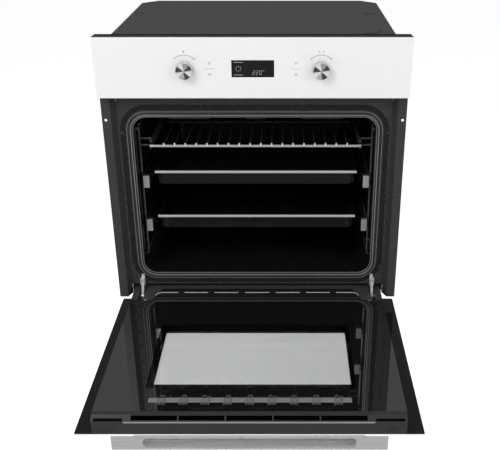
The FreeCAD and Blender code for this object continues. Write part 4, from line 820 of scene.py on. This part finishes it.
def makeDisplay():
    (left, low), (right, high) = fascia["display"]
    front = fascia["y"] - 0.08 * mm
    plate = slabMesh("displayWindow", [((left, front, low), (right, -23.4 * mm, high))], 0.03 * mm)
    showPiece("displayWindow", plate, "chassis", "displayBlack")
    y = front - 0.05 * mm
    lines = []
    for n, segments in enumerate(("abged", "abged", "abcdef")):
        lines += digitLines((-0.5 + n * 6.4) * mm, y, 524 * mm, 3.8 * mm, 7.6 * mm, segments)
    lines.append(ringLine(20.2 * mm, y, 531.4 * mm, 0.8 * mm, 0, 360, 10))
    sweptPiece("displayDigits", lines, 0.3 * mm, "paleInkAndReflection", "chassis", "display_black", 6)
    lines = [([(-36 * mm, y, z * mm), (-18 * mm, y, z * mm)], False) for z in (547, 523.5)]
    sun = (-27 * mm, 535 * mm)
    for n in range(8):
        a = math.radians(45 * n)
        lines.append(([(sun[0] + 3.4 * mm * math.cos(a), y, sun[1] + 3.4 * mm * math.sin(a)), (sun[0] + 5.8 * mm * math.cos(a), y, sun[1] + 5.8 * mm * math.sin(a))], False))
    sweptPiece("displaySigns", lines, 0.34 * mm, "paleInkAndReflection", "chassis", "display_black", 6)


makeFasciaPrint()
makeDisplay()
print("panel done")

# knobs: a raised pointer on each face and a dark ring of painted shade in the gap behind
knobParts = {"mode_knob_body": -128 * mm, "temperature_knob_body": 128 * mm, "z": 533 * mm, "front": -40 * mm}


def makeKnobDetail():
    for body in ("mode_knob_body", "temperature_knob_body"):
        x, z = knobParts[body], knobParts["z"]
        name = body.replace("_knob_body", "")
        pointer = slabMesh(name + "Pointer", [((x - 0.5 * mm, -39.6 * mm, z + 8.5 * mm), (x + 0.5 * mm, -39.1 * mm, z + 13 * mm))], 0.1 * mm)
        showPiece(name + "Pointer", pointer, body, "darkInk")
        sweptPiece(name + "Skirt", [ringLine(x, -26.2 * mm, z, 15.6 * mm, 0, 360, 40)], 0.55 * mm, "greyPlastic", body, "handle_alloy", 8)


makeKnobDetail()

# door: pictogram strip, glass edge strip, seams in the free edge
doorParts = {"stripHalf": 176 * mm, "stripNear": -397 * mm, "stripFar": -383.5 * mm, "top": 48.0 * mm, "pictoStep": 38.25 * mm, "pictoSize": 7 * mm,
             "lineEnd": 204 * mm, "lineY": -7.4 * mm, "lineCorner": 13 * mm, "gaps": (33.3, 99, 163.6), "gapHalf": 7}


def pictoLines(index, x, y, z, size):
    # plain dish: an oval in the middle, its filling beyond it and a mark nearer
    fills = index % 3
    oval = [(x + size * math.cos(a), y + size * 0.9 * math.sin(a), z) for a in [2 * math.pi * n / 20 for n in range(20)]]
    middle = [(oval, True), ([(x - size, y, z), (x + size, y, z)], False)]
    far = y + size * 1.5
    if fills == 0:
        outer = [([(x + dx * size, far - size * 0.3, z), (x + dx * size * 0.8, far + size * 0.6, z)], False) for dx in (-0.5, 0, 0.5)]
    elif fills == 1:
        outer = [([(x + size * 0.6 * math.cos(a), far + size * 0.5 * math.sin(a), z) for a in [2 * math.pi * n / 12 for n in range(12)]], True)]
    else:
        outer = [([(x - size, far, z), (x - size * 0.3, far + size * 0.5, z), (x + size * 0.3, far - size * 0.4, z), (x + size, far + size * 0.2, z)], False)]
    near = y - size * 1.6
    outer += [([(x + dx * size, near - size * 0.35, z), (x + dx * size, near + size * 0.35, z)], False) for dx in (-1, -0.4, 0.2, 0.8)]
    outer.append(([(x - size * 1.1, near + size * 0.35, z), (x + size * 0.9, near + size * 0.35, z)], False))
    return middle, outer


def makeDoorPrint():
    z = doorParts["top"]
    half, near, far = doorParts["stripHalf"], doorParts["stripNear"], doorParts["stripFar"]
    strip = slabMesh("guideStrip", [((-half, near, z - 0.3 * mm), (half, far, z + 0.05 * mm))])
    showPiece("guideStrip", strip, "door", "stripInk")
    dark, pale = [], []
    for n in range(9):
        middle, outer = pictoLines(n, (n - 4) * doorParts["pictoStep"], (near + far) / 2, z + 0.08 * mm, doorParts["pictoSize"])
        dark += middle
        pale += outer
    sweptPiece("guideDishes", dark, 0.5 * mm, "darkInk", "door", "printed_glass", 6)
    sweptPiece("guideMarks", pale, 0.42 * mm, "stripInk", "door", "printed_glass", 6)
    low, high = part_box("door_outer_glass")
    sill = slabMesh("windowSill", [((-160 * mm, -114 * mm, high.z - 0.1 * mm), (160 * mm, -80 * mm, high.z + 0.3 * mm))])
    showPiece("windowSill", sill, "door", "ventPlastic")


def makePaintedReflectionLine():
    # painted reflection: a broken bright line across the inner pane, curving forward at both ends
    y, z, end, corner = doorParts["lineY"], doorParts["top"] + 0.05 * mm, doorParts["lineEnd"], doorParts["lineCorner"]
    gaps = [side * gap * mm for side in (-1, 1) for gap in doorParts["gaps"]]
    marks = sorted([gap + side * doorParts["gapHalf"] * mm for gap in gaps for side in (-1, 1)] + [-end, end])
    lines = [([(left, y, z), (right, y, z)], False) for left, right in zip(marks[::2], marks[1::2])]
    for side in (-1, 1):
        turns = [math.radians(90 - 15 * n) for n in range(7)]
        lines.append(([(side * (end + corner * math.cos(a)), y - corner + corner * math.sin(a), z) for a in turns], False))
    sweptPiece("rearLine", lines, 0.75 * mm, "paleInkAndReflection", "door", "printed_glass", 6)


def makeVentLedge():
    # painted highlight: a pale strip along the front edge under the vents
    low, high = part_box("door_top_trim")
    slab = ((-212 * mm, low.y - 0.05 * mm, 36.8 * mm), (212 * mm, low.y + 0.6 * mm, 40.0 * mm))
    showPiece("ventLedge", slabMesh("ventLedge", [slab]), "door", "ventEdgeHighlight")


def makeTrimSeams():
    low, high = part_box("door_top_trim")
    slabs = [((x - 0.35 * mm, low.y - 0.12 * mm, 14.5 * mm), (x + 0.35 * mm, low.y + 0.3 * mm, 35.5 * mm)) for x in (-40 * mm, 40 * mm)]
    showPiece("trimSeams", slabMesh("trimSeams", slabs), "door", "darkInk")


makeDoorPrint()
makePaintedReflectionLine()
makeVentLedge()
makeTrimSeams()
print("door detail done")

# casing: screws, pressed marks in the cover painted darker as shade, and louvre lips
casing = {"screwSide": (110, 250, 390, 520), "rearScrewX": (-240, -120, 0, 120, 240),
          "presses": (((228, 258), (240, 256), (252, 262), (259, 278)), ((214, 40), (230, 45), (243, 56), (249, 78)), ((-262, 266), (-252, 262), (-240, 262)))}


def makeCasingDetail():
    for side, word in ((-1, "left"), (1, "right")):
        points = [(side * 272 * mm, y * mm, z * mm) for z in casing["screwSide"] for y in (34, 532)]
        points += [(side * 272 * mm, y * mm, 12 * mm) for y in (160, 280, 400)]
        screwPiece(word + "PanelScrews", points, word, 1.0, "plainSteel", "chassis", "plain_steel")
    points = [(x * mm, 545 * mm, z * mm) for x in casing["rearScrewX"] for z in (12, 548)]
    screwPiece("rearPanelScrews", points, "rear", 1.0, "plainSteel", "chassis", "plain_steel")
    points = [(x * mm, 530 * mm, 561 * mm) for x in (-230, 0, 230)]
    screwPiece("rearCoverScrews", points, "up", 1.0, "plainSteel", "chassis", "plain_steel")
    lines = [([(x * mm, y * mm, 586.9 * mm) for x, y in press], False) for press in casing["presses"]]
    sweptPiece("coverPresses", lines, 1.3 * mm, "coverPressShade", "chassis", "zinc_sheet", 8)
    for side, word in ((-1, "left"), (1, "right")):
        carrier = carrierFrom(word + "LouvreStart", [(side * 272.6 * mm, 465 * mm, 525.2 * mm - 60 * mm)])
        values = {"Count": 6, "Step": (0, 0, 12 * mm), "Slab": (1.4 * mm, 72 * mm, 1.6 * mm), "Finish": paint["zincBare"]}
        grow(word + "LouvreLips", carrier, rowTree, values, "chassis", "zinc_sheet", smooth=False)


makeCasingDetail()

# cavity: rack wire ends, hinge hooks, baffle screws, lamp ring and baffle ring
cavityParts = {"baffleScrews": ((-150, 142), (150, 142), (-150, 362), (150, 362)), "lamp": (-196, 396), "lampRing": 26}


def makeWireEnds():
    # rounded ends of the rack's wires standing on its front rod
    low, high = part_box("wire_rack")
    count, half = 18, 208.5 * mm
    ends = []
    for n in range(count):
        x = half * ((n + 1) / (count + 1) * 2 - 1)
        ends.append(([(x, low.y + 1.8 * mm, high.z - 2.0 * mm), (x, low.y + 1.8 * mm, high.z + 3.0 * mm)], False))
    sweptPiece("rackWireEnds", ends, 1.7 * mm, "railWhite", "wire_rack_body", "bright_steel", 8)


def makeHingeHooks():
    # claw plates on the frame above the hinge arms
    for side, word in ((-1, "left"), (1, "right")):
        slabs = [((side * 247 * mm - 1.6 * mm, 14.6 * mm, 60 * mm), (side * 247 * mm + 1.6 * mm, 18.2 * mm, 80 * mm)),
                 ((side * 247 * mm - 3.2 * mm, 14.4 * mm, 72 * mm), (side * 247 * mm + 3.2 * mm, 17.4 * mm, 81 * mm))]
        showPiece(word + "HingeHook", slabMesh(word + "HingeHook", slabs, 0.5 * mm), "chassis", "brightSteel")


def makeCavityDetail():
    points = [(x * mm, 396.9 * mm, z * mm) for x, z in cavityParts["baffleScrews"]]
    screwPiece("baffleScrews", points, "front", 1.3, "plainSteel", "chassis", "plain_steel")
    x, z = cavityParts["lamp"]
    sweptPiece("lampRing", [ringLine(x * mm, 427.5 * mm, z * mm, cavityParts["lampRing"] * mm, 0, 360, 36)], 1.4 * mm, "plainSteel", "chassis", "plain_steel")
    lines = [ringLine(0, 396.6 * mm, 252 * mm, 82 * mm, 0, 360, 60)]
    sweptPiece("baffleRing", lines, 1.5 * mm, "cavityEnamel", "chassis", "cavity_enamel")


makeWireEnds()
makeHingeHooks()
makeCavityDetail()
print("casing and cavity detail done")

bpy.data.objects.remove(screwHead)
